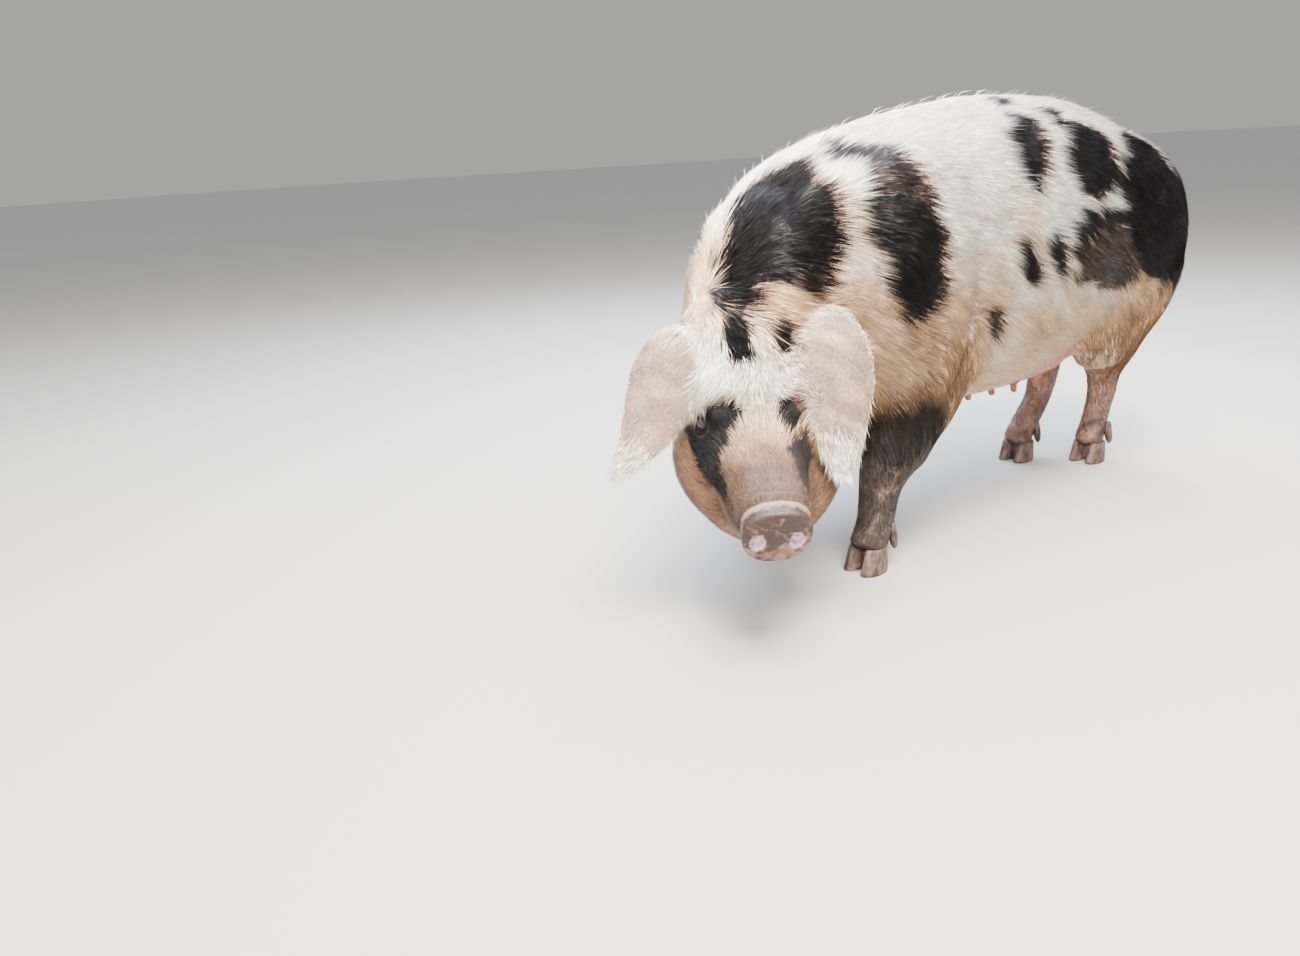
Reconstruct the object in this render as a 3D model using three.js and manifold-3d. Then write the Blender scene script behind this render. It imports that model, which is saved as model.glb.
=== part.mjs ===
// A grown lop-eared sow, standing with her head low and turned to her left.
// Millimetres. She faces -Y, her left side is +X, and the floor is z = 0.
//
// The flesh is one smooth form: swept limbs and ellipsoids whose signed distances are blended.
// Each named piece is that form, turned into facets and parted from its neighbours by thin plane cuts.

import * as THREE from 'three';
import { mergeVertices } from 'three/addons/utils/BufferGeometryUtils.js';
import Module from 'manifold-3d';

const wasm = await Module();
wasm.setup();

// ---------------------------------------------------------------- driving dimensions

const GAP = 0.35;                 // clearance between neighbouring pieces
const SIDES = [[1, 'left'], [-1, 'right']];

const HEAD_YAW = 57.5;              // degrees the head is turned to the pig's left
const HEAD_PITCH = 43;            // degrees the line from poll to snout falls
const DISC_LIFT = 20;             // degrees the nose disc is lifted from that line
const POLL = [95, -600, 515];     // top of the head, between the ears
const HEAD_LENGTH = 385;          // poll to the face of the nose disc

const EYE_RADIUS = 12.5;
const EYE_DEPTH = 11.5;              // centre of the eyeball below the coat
const EYE_ALONG = 180;            // from the poll, along the face
const EYE_DROP = 66;              // below the line of the face

const SOLE_TO_CORONET = 44;       // height of the claws
const CLAW_SIDES = 10;
const CLAW = { apart: 19.5, length: 31, width: 17.5, slope: 8 };
const FORE_FOOT = { x: 140, y: -368 };
const HIND_FOOT = { x: 60, y: 468 };
const HIND_RIGHT_AHEAD = 100;     // the right hind foot stands this far ahead of the left

const TEAT_PAIRS = 7;
const TEAT = { x: 62, first: -215, pitch: 76, length: 20, radius: 7.5 };

// Size of the facets of each kind of piece, along X, Y and Z
const CELL = {
  trunk: [62, 92, 62], neck: [46, 46, 46], head: [22, 22, 22], disc: [15, 15, 15],
  foreleg: [26, 30, 41], hindleg: [30, 36, 43],
};

// ---------------------------------------------------------------- small vector helpers

const dot = (a, b) => a[0] * b[0] + a[1] * b[1] + a[2] * b[2];
const cross = (a, b) => [a[1] * b[2] - a[2] * b[1], a[2] * b[0] - a[0] * b[2], a[0] * b[1] - a[1] * b[0]];
const scaled = (a, k) => [a[0] * k, a[1] * k, a[2] * k];
const sum = (...vectors) => vectors.reduce((a, b) => [a[0] + b[0], a[1] + b[1], a[2] + b[2]]);
const unit = (a) => scaled(a, 1 / Math.hypot(...a));
const mixed = (a, b, t) => a.map((value, i) => value * (1 - t) + b[i] * t);

// Side, forward and up directions of something turned to the left and pitched down.
function turned(yaw, pitch) {
  const y = THREE.MathUtils.degToRad(yaw);
  const p = THREE.MathUtils.degToRad(pitch);
  const forward = [Math.sin(y) * Math.cos(p), -Math.cos(y) * Math.cos(p), -Math.sin(p)];
  const side = [Math.cos(y), Math.sin(y), 0];
  return { side, forward, up: cross(forward, side) };
}

const HEAD = turned(HEAD_YAW, HEAD_PITCH);
const DISC = turned(HEAD_YAW, HEAD_PITCH - DISC_LIFT);

// A point of the head: along the face from the poll, to the pig's left, and above the face line.
const onHead = (along, left, above) =>
  sum(POLL, scaled(HEAD.forward, along), scaled(HEAD.side, left), scaled(HEAD.up, above));

// ---------------------------------------------------------------- the shapes that make the flesh

// Points on a Catmull-Rom curve through the rows, `steps` to a span.
function smoothRows(rows, steps) {
  const first = rows[0].map((v, i) => 2 * v - rows[1][i]);
  const last = rows.at(-1).map((v, i) => 2 * v - rows.at(-2)[i]);
  const all = [first, ...rows, last];
  const result = [];
  for (let k = 1; k < all.length - 2; k++) {
    const [a, b, c, d] = all.slice(k - 1, k + 3);
    for (let s = 0; s < steps; s++) {
      const t = s / steps;
      result.push(b.map((_, i) => 0.5 * (2 * b[i] + (c[i] - a[i]) * t
        + (2 * a[i] - 5 * b[i] + 4 * c[i] - d[i]) * t * t
        + (3 * b[i] - a[i] - 3 * c[i] + d[i]) * t * t * t)));
    }
  }
  result.push(rows.at(-1));
  return result;
}

// A limb swept along a curve. Each row is x, y, z, then its reach to the side, up and down.
// The section is a superellipse of the given power, bent by the camber, and the ends are rounded.
class Sweep {
  constructor(rows, { side = [1, 0, 0], sideEnd = side, up = [0, 0, 1], caps = [40, 40],
    power = 2.2, steps = 6, camber = 0 } = {}) {
    this.rows = smoothRows(rows, steps);
    this.caps = caps;
    this.power = power;
    this.camber = camber;
    const count = this.rows.length;
    const points = this.rows.map((row) => row.slice(0, 3));
    this.frames = points.map((point, i) => {
      const before = points[Math.max(i - 1, 0)];
      const after = points[Math.min(i + 1, count - 1)];
      const stepIn = i > 0 ? unit(sum(point, scaled(before, -1))) : [0, 0, 0];
      const stepOut = i < count - 1 ? unit(sum(after, scaled(point, -1))) : [0, 0, 0];
      const wanted = mixed(side, sideEnd, i / (count - 1));
      return { tangent: unit(sum(stepIn, stepOut)), wanted };
    });
    this.up = up;
    const reach = Math.max(...this.rows.flatMap((row) => row.slice(3))) + Math.max(...caps);
    this.low = [0, 1, 2].map((i) => Math.min(...points.map((point) => point[i])) - reach);
    this.high = [0, 1, 2].map((i) => Math.max(...points.map((point) => point[i])) + reach);
  }

  // The side and up axes of the section at a tangent.
  axes(tangent, wanted) {
    const side = unit(sum(wanted, scaled(tangent, -dot(wanted, tangent))));
    const normal = cross(side, tangent);
    return { side, normal: dot(normal, this.up) < 0 ? scaled(normal, -1) : normal };
  }

  // Signed distance, near enough, from the nearest section: r (1 - 1 / g), where g is the
  // superellipse norm of the point and r its distance from the curve.
  distance(p) {
    let best = Infinity;
    let index = 0;
    let part = 0;
    for (let i = 0; i + 1 < this.rows.length; i++) {
      const a = this.rows[i];
      const b = this.rows[i + 1];
      const d = [b[0] - a[0], b[1] - a[1], b[2] - a[2]];
      const q = [p[0] - a[0], p[1] - a[1], p[2] - a[2]];
      const t = Math.min(Math.max(dot(q, d) / dot(d, d), 0), 1);
      const r = (q[0] - t * d[0]) ** 2 + (q[1] - t * d[1]) ** 2 + (q[2] - t * d[2]) ** 2;
      if (r < best) [best, index, part] = [r, i, t];
    }
    const row = mixed(this.rows[index], this.rows[index + 1], part);
    const tangent = unit(mixed(this.frames[index].tangent, this.frames[index + 1].tangent, part));
    const wanted = mixed(this.frames[index].wanted, this.frames[index + 1].wanted, part);
    const { side, normal } = this.axes(tangent, wanted);
    const q = [p[0] - row[0], p[1] - row[1], p[2] - row[2]];
    const x = dot(q, side);
    const z = dot(q, normal) + this.camber * x * x / row[3];
    const atStart = index === 0 && part === 0;
    const atEnd = index === this.rows.length - 2 && part === 1;
    const s = atStart || atEnd ? dot(q, tangent) : 0;
    const cap = atStart ? this.caps[0] : this.caps[1];
    const n = this.power;
    const g = (Math.abs(x / row[3]) ** n + Math.abs(z / (z > 0 ? row[4] : row[5])) ** n
      + Math.abs(s / cap) ** n) ** (1 / n);
    return g > 1e-5 ? Math.hypot(x, z, s) * (1 - 1 / g) : -row[4];
  }

  // The sweep's own surface as a closed mesh: rings of `around` points, with rounded ends.
  loft(around, endRings = 2) {
    const rings = [];
    const last = this.rows.length - 1;
    const ring = (i, shift, shrink) => {
      const row = this.rows[i];
      const { tangent, wanted } = this.frames[i];
      const { side, normal } = this.axes(tangent, wanted);
      const centre = sum(row.slice(0, 3), scaled(tangent, shift));
      rings.push(Array.from({ length: around }, (_, k) => {
        const angle = (k + 0.5) * 2 * Math.PI / around;
        const power = 2 / this.power;
        const x = Math.sign(Math.cos(angle)) * Math.abs(Math.cos(angle)) ** power * row[3] * shrink;
        const z = Math.sign(Math.sin(angle)) * Math.abs(Math.sin(angle)) ** power * shrink
          * (Math.sin(angle) > 0 ? row[4] : row[5]);
        return sum(centre, scaled(side, x), scaled(normal, z - this.camber * x * x / row[3]));
      }));
    };
    for (let k = endRings; k > 0; k--) {
      const angle = (k / (endRings + 0.5)) * Math.PI / 2;
      ring(0, -this.caps[0] * Math.sin(angle), Math.cos(angle));
    }
    for (let i = 0; i <= last; i++) ring(i, 0, 1);
    for (let k = 1; k <= endRings; k++) {
      const angle = (k / (endRings + 0.5)) * Math.PI / 2;
      ring(last, this.caps[1] * Math.sin(angle), Math.cos(angle));
    }
    return closedRings(rings);
  }
}

// An ellipsoid, with its own axes where they are given.
class Blob {
  constructor(at, radii, axes = [[1, 0, 0], [0, 1, 0], [0, 0, 1]]) {
    Object.assign(this, { at, radii, axes });
    const reach = Math.max(...radii);
    this.low = at.map((value) => value - reach);
    this.high = at.map((value) => value + reach);
  }

  distance(p) {
    const q = [p[0] - this.at[0], p[1] - this.at[1], p[2] - this.at[2]];
    const g = Math.hypot(...this.axes.map((axis, i) => dot(q, axis) / this.radii[i]));
    return g > 1e-6 ? Math.hypot(...q) * (1 - 1 / g) : -Math.min(...this.radii);
  }
}

// A smooth union: each shape is melted into those before it over the width `blend`.
class Flesh {
  constructor() {
    this.layers = [];
  }

  add(shape, blend) {
    this.layers.push({ shape, blend });
    return this;
  }

  distance(p) {
    let d = 120;
    for (const { shape, blend } of this.layers) {
      const margin = blend + 20;
      const near = [0, 1, 2].every((i) => p[i] > shape.low[i] - margin && p[i] < shape.high[i] + margin);
      if (!near) continue;
      const e = shape.distance(p);
      const h = Math.max(blend - Math.abs(d - e), 0);
      d = Math.min(d, e) - (blend > 0 ? h * h / (4 * blend) : 0);
    }
    return d;
  }

  // The point where a walk from outside, along a direction, meets the surface.
  meet(from, direction) {
    let point = from;
    for (let i = 0; i < 60; i++) {
      point = sum(point, scaled(direction, this.distance(point) * 0.7));
    }
    return point;
  }
}

// ---------------------------------------------------------------- meshes and cuts

// A solid from a list of corners and triangles.
function solidOf(corners, triangles) {
  const vertProperties = new Float32Array(corners.flat());
  const triVerts = new Uint32Array(triangles.flat());
  return new wasm.Manifold(new wasm.Mesh({ numProp: 3, vertProperties, triVerts }));
}

// A closed solid through rings of equal length, with a flat fan over each end.
function closedRings(rings) {
  const around = rings[0].length;
  const corners = rings.flat();
  const triangles = [];
  for (let i = 0; i + 1 < rings.length; i++) {
    for (let k = 0; k < around; k++) {
      const [a, b] = [i * around + k, i * around + (k + 1) % around];
      triangles.push([a, b, b + around], [a, b + around, a + around]);
    }
  }
  const end = (rings.length - 1) * around;
  for (let k = 1; k + 1 < around; k++) {
    triangles.push([0, k + 1, k], [end, end + k, end + k + 1]);
  }
  const solid = solidOf(corners, triangles);
  return solid.volume() > 0 ? solid : solidOf(corners, triangles.map(([a, b, c]) => [a, c, b]));
}

// Turns a signed distance into facets inside a box: one corner in each cell that the surface
// crosses, at the mean of the crossings of its edges, then moved onto the surface.
function facets(distance, low, high, cell) {
  const size = [0, 1, 2].map((i) => Math.ceil((high[i] - low[i]) / cell[i]) + 2);
  const place = (...index) => index.map((n, i) => low[i] + (n - 0.5) * cell[i]);
  const at = (i, j, k) => (i * size[1] + j) * size[2] + k;
  const value = new Float64Array(size[0] * size[1] * size[2]).fill(1);
  for (let i = 1; i < size[0] - 1; i++) {
    for (let j = 1; j < size[1] - 1; j++) {
      for (let k = 1; k < size[2] - 1; k++) value[at(i, j, k)] = distance(place(i, j, k));
    }
  }
  separateTouching(value, size, at);
  const corners = [];
  const number = new Int32Array(value.length).fill(-1);
  const edges = [];
  for (const axis of [0, 1, 2]) {
    for (const [u, v] of [[0, 0], [0, 1], [1, 0], [1, 1]]) {
      const start = [0, 0, 0];
      start[(axis + 1) % 3] = u;
      start[(axis + 2) % 3] = v;
      const end = [...start];
      end[axis] = 1;
      edges.push([start, end]);
    }
  }
  for (let i = 0; i + 1 < size[0]; i++) {
    for (let j = 0; j + 1 < size[1]; j++) {
      for (let k = 0; k + 1 < size[2]; k++) {
        let [x, y, z, count] = [0, 0, 0, 0];
        for (const [a, b] of edges) {
          const va = value[at(i + a[0], j + a[1], k + a[2])];
          const vb = value[at(i + b[0], j + b[1], k + b[2])];
          if ((va < 0) === (vb < 0)) continue;
          const t = va / (va - vb);
          x += a[0] + (b[0] - a[0]) * t;
          y += a[1] + (b[1] - a[1]) * t;
          z += a[2] + (b[2] - a[2]) * t;
          count++;
        }
        if (count === 0) continue;
        number[at(i, j, k)] = corners.length;
        corners.push(place(i + x / count, j + y / count, k + z / count));
      }
    }
  }
  const triangles = [];
  for (let i = 0; i < size[0]; i++) {
    for (let j = 0; j < size[1]; j++) {
      for (let k = 0; k < size[2]; k++) {
        const inside = value[at(i, j, k)] < 0;
        for (const axis of [0, 1, 2]) {
          const next = [i, j, k];
          next[axis]++;
          if (next[axis] >= size[axis] || inside === (value[at(...next)] < 0)) continue;
          const u = [0, 0, 0];
          const v = [0, 0, 0];
          u[(axis + 1) % 3] = 1;
          v[(axis + 2) % 3] = 1;
          const quad = [[1, 1], [0, 1], [0, 0], [1, 0]].map(([s, t]) =>
            number[at(i - s * u[0] - t * v[0], j - s * u[1] - t * v[1], k - s * u[2] - t * v[2])]);
          if (!inside) quad.reverse();
          triangles.push([quad[0], quad[1], quad[2]], [quad[0], quad[2], quad[3]]);
        }
      }
    }
  }
  return solidOf(corners.map((corner) => settle(distance, corner, Math.min(...cell))), triangles);
}

// Fills the grid points where two parts of the surface would touch along an edge or at a corner:
// a square or cube whose inside points meet only across a diagonal gets its nearest outside point.
function separateTouching(value, size, at) {
  const diagonals = [
    [[0, 0, 0], [0, 1, 1], [0, 1, 0], [0, 0, 1]],
    [[0, 0, 0], [1, 0, 1], [1, 0, 0], [0, 0, 1]],
    [[0, 0, 0], [1, 1, 0], [1, 0, 0], [0, 1, 0]],
  ];
  const cube = [0, 1, 2, 3, 4, 5, 6, 7].map((n) => [n & 1, (n >> 1) & 1, n >> 2]);
  for (let changed = true; changed;) {
    changed = false;
    const fill = (places) => {
      const outside = places.filter((place) => value[place] >= 0);
      value[outside.reduce((a, b) => (value[b] < value[a] ? b : a))] = -1e-3;
      changed = true;
    };
    for (let i = 1; i + 2 < size[0]; i++) {
      for (let j = 1; j + 2 < size[1]; j++) {
        for (let k = 1; k + 2 < size[2]; k++) {
          for (const square of diagonals) {
            const places = square.map(([a, b, c]) => at(i + a, j + b, k + c));
            const [p, q, r, s] = places.map((place) => value[place] < 0);
            if (p === q && r === s && p !== r) fill(places);
          }
          const places = cube.map(([a, b, c]) => at(i + a, j + b, k + c));
          const signs = places.map((place) => value[place] < 0);
          const count = signs.filter(Boolean).length;
          const apart = [0, 1, 2, 3].some((n) => signs[n] === signs[7 - n] && signs[n] === (count === 2));
          if ((count === 2 || count === 6) && apart) fill(places);
        }
      }
    }
  }
}

// Moves a corner onto the surface by two steps down the gradient.
function settle(distance, corner, cell) {
  let point = corner;
  const step = cell * 0.2;
  for (let pass = 0; pass < 2; pass++) {
    const d = distance(point);
    const gradient = [0, 1, 2].map((i) => {
      const ahead = [...point];
      const behind = [...point];
      ahead[i] += step;
      behind[i] -= step;
      return (distance(ahead) - distance(behind)) / (2 * step);
    });
    const steep = Math.max(dot(gradient, gradient), 0.1);
    const move = Math.min(Math.max(-d / steep, -cell / 2), cell / 2);
    point = sum(point, scaled(gradient, move));
  }
  return point;
}

// A geometry of three.js as a solid.
function fromGeometry(geometry) {
  geometry.deleteAttribute('normal');
  geometry.deleteAttribute('uv');
  const merged = mergeVertices(geometry, 1e-4);
  return new wasm.Manifold(new wasm.Mesh({
    numProp: 3,
    vertProperties: new Float32Array(merged.attributes.position.array),
    triVerts: new Uint32Array(merged.index.array),
  }));
}

// All space on the side of a plane that its normal points to, as a large block.
function beyond(point, normal, offset = 0) {
  const reach = 4000;
  const geometry = new THREE.BoxGeometry(reach, reach, reach);
  geometry.translate(0, 0, reach / 2);
  const n = new THREE.Vector3(...unit(normal));
  geometry.applyQuaternion(new THREE.Quaternion().setFromUnitVectors(new THREE.Vector3(0, 0, 1), n));
  geometry.translate(...sum(point, scaled(n.toArray(), offset)));
  return fromGeometry(geometry);
}

// Keeps the part of a solid beyond each plane, half a gap inside it.
const kept = (solid, ...planes) =>
  planes.reduce((rest, [point, normal]) => rest.intersect(beyond(point, normal, GAP / 2)), solid);

// A solid with a neighbour taken away, and a clearance on the side that it grows towards.
function cleared(solid, neighbour, outward) {
  const move = scaled(unit(outward), 2 * GAP);
  return solid.subtract(neighbour).subtract(neighbour.translate(move));
}

// The largest of the separate bodies in a solid.
function largest(solid) {
  return solid.decompose().reduce((a, b) => (b.volume() > a.volume() ? b : a));
}

const opposite = ([point, normal]) => [point, scaled(normal, -1)];

// ---------------------------------------------------------------- the forms of the body

// Each station of the trunk: y, height of the back, height of the belly, half width.
function trunkForm() {
  const stations = [
    [-470, 670, 335, 150], [-380, 736, 285, 195], [-250, 780, 258, 222], [-80, 807, 242, 240],
    [100, 825, 242, 250], [270, 821, 288, 236], [410, 776, 342, 206], [525, 684, 420, 150],
  ];
  const rows = stations.map(([y, back, belly, half]) => {
    const middle = (back + belly) / 2;
    return [0, y, middle, half, back - middle, middle - belly];
  });
  return new Sweep(rows, { caps: [90, 88], power: 2.25 });
}

function neckForm() {
  const rows = [
    [0, -340, 520, 190, 200, 190], [10, -450, 475, 165, 175, 150], [45, -560, 415, 125, 125, 125],
  ];
  return new Sweep(rows, { caps: [50, 70] });
}

// Each station of the head: along the face, its centre below the face line, half width, up, down.
function headForm() {
  const stations = [
    [0, -70, 84, 66, 115], [60, -72, 95, 72, 135], [120, -80, 96, 66, 138], [180, -88, 86, 58, 122],
    [240, -84, 74, 49, 102], [300, -70, 62, 44, 80], [355, -58, 54, 42, 54],
  ];
  const rows = stations.map(([along, drop, ...reach]) => [...onHead(along, 0, drop), ...reach]);
  return new Sweep(rows, { side: HEAD.side, up: HEAD.up, caps: [70, 20], power: 2.3 });
}

function discForm() {
  const middle = onHead(HEAD_LENGTH - 7, 0, -56);
  const behind = sum(middle, scaled(DISC.forward, -14));
  const front = sum(middle, scaled(DISC.forward, 6));
  return new Sweep([[...behind, 50, 40, 52], [...front, 53, 42, 55]],
    { side: HEAD.side, up: HEAD.up, caps: [8, 7], power: 2.4, steps: 2 });
}

// An ellipsoid lying in the head: its place, then its radii across, along and up.
const headBlob = (place, radii) =>
  new Blob(onHead(...place), radii, [HEAD.side, HEAD.forward, HEAD.up]);

// Ears hang forward over the eyes. Stations: along the face, out from the middle, above, half width.
function earForm(sign) {
  const stations = sign > 0
    ? [[10, 72, -24, 42], [40, 104, -2, 58], [95, 118, 0, 80], [150, 124, -26, 79], [205, 126, -60, 54],
      [262, 126, -98, 18]]
    : [[22, 72, -34, 34], [54, 108, -22, 49], [98, 137, -38, 59], [146, 156, -64, 56], [192, 186, -92, 37],
      [226, 216, -106, 14]];
  const rows = stations.map(([along, out, above, half]) => [...onHead(along, sign * out, above), half, 6, 6]);
  const inward = scaled(HEAD.side, -sign);
  return new Sweep(rows, {
    side: sum(scaled(HEAD.forward, 0.8), inward),
    sideEnd: sum(scaled(HEAD.forward, 0.3), inward),
    up: HEAD.up, caps: [30, 12], power: 2, steps: 2, camber: 0.22,
  });
}

// Stations of a leg: out from the middle, y, z, then half width, reach forward and reach back.
function limb(sign, stations) {
  const rows = stations.map(([out, y, z, half, fore, back]) => [sign * out, y, z, half, back, fore]);
  return new Sweep(rows, { up: [0, 1, 0.2], power: 2, caps: [40, 20] });
}

function forelegForm(sign) {
  const { x, y } = FORE_FOOT;
  return limb(sign, [
    [x + 15, -240, 420, 65, 140, 150], [x + 15, -262, 340, 58, 103, 134], [x + 10, -302, 265, 50, 74, 112],
    [x + 6, -330, 205, 43, 46, 98], [x + 2, y + 27, 158, 38, 36, 60], [x, y + 24, 128, 36, 33, 50],
    [x, y + 18, 85, 35, 35, 41], [x, y + 3, 50, 36, 38, 38],
  ]);
}

function hindlegForm(sign) {
  const { x, y } = HIND_FOOT;
  const ahead = sign < 0 ? HIND_RIGHT_AHEAD : 0;
  return limb(sign, [
    [x + 60, 455, 430, 84, 165, 184], [x + 47, 470, 350, 82, 160, 142],
    [x + 20, 505 - 0.3 * ahead, 265, 53, 110, 72], [x + 6, 512 - 0.35 * ahead, 205, 33, 66, 39],
    [x + 3, 508 - 0.5 * ahead, 165, 31, 46, 37], [x, 500 - 0.65 * ahead, 130, 30, 37, 34],
    [x, y + 15 - 0.9 * ahead, 85, 31, 34, 34],
    [x, y - ahead, 50, 33, 38, 36],
  ]);
}

const tailForm = () => new Sweep(
  [[0, 575, 660, 24, 24, 24], [0, 625, 652, 20, 20, 20], [4, 655, 612, 15, 15, 15], [12, 662, 560, 11, 11, 11],
    [22, 655, 512, 9, 9, 9], [24, 645, 470, 7, 7, 7], [18, 640, 436, 5, 5, 5]],
  { up: [0, 1, 0.3], power: 2, caps: [20, 10], steps: 2 });

// Everything but the ears and the tail, which are pieces of their own shape.
function bodyForm() {
  const flesh = new Flesh()
    .add(trunkForm(), 0)
    .add(neckForm(), 60)
    .add(headForm(), 50)
    .add(headBlob([155, 0, -160], [124, 125, 84]), 60)          // throat and jaw
    .add(headBlob([232, 8, -158], [112, 118, 50]), 30)          // lower jaw
    .add(headBlob([296, 3, -116], [68, 66, 40]), 25)            // chin
    .add(discForm(), 6);
  for (const [sign] of SIDES) {
    const jowlOut = sign > 0 ? 66 : 44;                           // the turn pushes the left one out
    flesh.add(headBlob([195, sign * jowlOut, -162], [84, 98, 72]), 30); // jowl
    flesh.add(headBlob([148, sign * 62, -36], [27, 45, 26]), 30);   // brow
    flesh.add(headBlob([175, sign * 70, -96], [26, 75, 36]), 30);   // cheek
    flesh.add(new Blob([sign * 130, -300, 500], [105, 150, 220]), 60);  // shoulder
    flesh.add(forelegForm(sign), 50);
    flesh.add(new Blob([sign * 120, 440, 520], [112, 192, 205]), 60);   // ham
    flesh.add(hindlegForm(sign), 50);
    flesh.add(new Blob([sign * 60, 285, 292], [44, 70, 42]), 30);   // hindmost gland of the udder
  }
  flesh.add(new Blob([0, 200, 262], [80, 150, 36]), 40);        // udder
  flesh.add(new Blob([0, 608, 555], [22, 26, 42]), 25);         // vulva
  return flesh;
}

// ---------------------------------------------------------------- where the pieces part

const NECK_FRONT = [[80, -575, 520], turned(40, 20).forward];
const NECK_BACK = [[0, -385, 540], [0, -0.966, 0.259]];
const FORE_TOP = (sign) => [[sign * 85, 0, 255], [sign * 0.67, 0, -0.742]];
const HIND_TOP = (sign) => [[sign * 20, 0, 345], [sign * 0.66, 0, -0.751]];
const FORE_BACK = [[0, -120, 0], [0, -1, 0]];
const HIND_FRONT = [[0, 250, 0], [0, 1, 0]];
const DISC_BACK = [onHead(HEAD_LENGTH - 24, 0, -56), DISC.forward];
const CORONET = [[0, 0, SOLE_TO_CORONET], [0, 0, 1]];
const HEAD_REAR = [[0, -440, 0], [0, -1, 0]];

// ---------------------------------------------------------------- building

const body = bodyForm();
const distance = (p) => body.distance(p);
const pieces = new Map();

const eyeSeat = (sign) => {
  const outward = unit(sum(scaled(HEAD.side, sign), scaled(HEAD.up, 0.25)));
  const start = sum(onHead(EYE_ALONG, 0, -EYE_DROP - 20), scaled(outward, 160));
  const surface = body.meet(start, scaled(outward, -1));
  return sum(surface, scaled(outward, -EYE_DEPTH));
};

function ball(at, radius) {
  const geometry = new THREE.SphereGeometry(radius, 10, 7);
  geometry.translate(...at);
  return fromGeometry(geometry);
}

// Head, neck and nose disc
const headBox = [[-60, -960, 130], [420, -400, 640]];
let head = facets(distance, ...headBox, CELL.head);
head = largest(kept(head, NECK_FRONT, HEAD_REAR, opposite(DISC_BACK)));
for (const [sign, name] of SIDES) {
  const seat = eyeSeat(sign);
  head = head.subtract(ball(seat, EYE_RADIUS + GAP));
  pieces.set(`eye_${name}`, ball(seat, EYE_RADIUS));
}
pieces.set('head', head);
const disc = facets(distance, [200, -920, 130], [420, -680, 340], CELL.disc);
pieces.set('snout_disc', largest(kept(disc, DISC_BACK)));
const neck = facets(distance, [-260, -760, 180], [330, -280, 820], CELL.neck);
pieces.set('neck', largest(kept(neck, NECK_BACK, opposite(NECK_FRONT))));

// Legs, each with its two claws and two dewclaws
function claw(x, y, inner) {
  const { length, width, slope } = CLAW;
  const rings = [0, 0.5, 1].map((t) => {
    const shrink = 1 - 0.18 * t;
    return Array.from({ length: CLAW_SIDES }, (_, k) => {
      const angle = k * 2 * Math.PI / CLAW_SIDES;
      const bulge = Math.cos(angle) * inner > 0 ? 0.8 : 1;
      return [
        x + Math.sign(Math.cos(angle)) * Math.abs(Math.cos(angle)) ** 0.8 * width * shrink * bulge,
        y - slope * (1 - t) + Math.sin(angle) * length * shrink,
        t * (SOLE_TO_CORONET - GAP),
      ];
    });
  });
  return closedRings(rings);
}

function dewclaw(x, y, outward) {
  const rows = [[x, y, 82, 11, 10, 10], [x + outward * 2, y + 6, 60, 10, 9, 9],
    [x + outward * 3, y + 9, 40, 6.5, 6, 6]];
  return new Sweep(rows, { up: [0, 1, 0], power: 2, caps: [8, 7], steps: 1 }).loft(6, 1);
}

function addLeg(name, sign, footX, footY, box, cell, planes) {
  let leg = kept(facets(distance, ...box, cell), CORONET, ...planes);
  leg = largest(leg);
  for (const [inward, place] of [[sign, 'inner'], [-sign, 'outer']]) {
    const x = footX - inward * CLAW.apart;
    pieces.set(`claw_${name}_${place}`, claw(x, footY + 3, inward));
    pieces.set(`dewclaw_${name}_${place}`, cleared(dewclaw(x, footY + 38, -inward), leg, [0, 1, 0]));
  }
  pieces.set(name, leg);
}

for (const [sign, side] of SIDES) {
  const middle = [[sign * 4, 0, 0], [sign, 0, 0]];
  const across = sign > 0 ? [-20, 330] : [-330, 20];
  addLeg(`foreleg_${side}`, sign, sign * FORE_FOOT.x, FORE_FOOT.y,
    [[across[0], -560, 20], [across[1], -60, 500]], CELL.foreleg, [middle, FORE_TOP(sign), FORE_BACK]);
  const ahead = sign < 0 ? HIND_RIGHT_AHEAD : 0;
  addLeg(`hindleg_${side}`, sign, sign * HIND_FOOT.x, HIND_FOOT.y - ahead,
    [[across[0], 190, 20], [across[1], 720, 680]], CELL.hindleg, [middle, HIND_TOP(sign), HIND_FRONT]);
}

// Trunk: what is left behind the neck once both pairs of legs are parted from it
let trunk = kept(facets(distance, [-330, -560, 170], [330, 760, 900], CELL.trunk), opposite(NECK_BACK));
for (const [sign] of SIDES) {
  for (const planes of [[FORE_TOP(sign), FORE_BACK], [HIND_TOP(sign), HIND_FRONT]]) {
    const all = [...planes, [[sign * 4, 0, 0], [sign, 0, 0]]];
    const block = all.map(([point, normal]) => beyond(point, normal, -GAP / 2));
    trunk = trunk.subtract(block.reduce((a, b) => a.intersect(b)));
  }
}
for (let pair = 0; pair < TEAT_PAIRS; pair++) {
  for (const [sign] of SIDES) {
    const y = TEAT.first + pair * TEAT.pitch;
    const root = body.meet([sign * TEAT.x, y, 100], [0, 0, 1]);
    const tip = sum(root, [sign * 3, 0, -TEAT.length]);
    const inside = sum(root, [0, 0, 22]);
    const shoulder = mixed(inside, tip, 0.85);
    const rows = [[inside, 1], [shoulder, 0.85], [tip, 0.5]].map(([point, share]) =>
      [...point, ...Array(3).fill(TEAT.radius * share)]);
    const teat = new Sweep(rows, { up: [0, 1, 0], power: 2, steps: 1 }).loft(6, 0);
    trunk = trunk.add(teat);
  }
}
pieces.set('trunk', largest(trunk));

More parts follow.
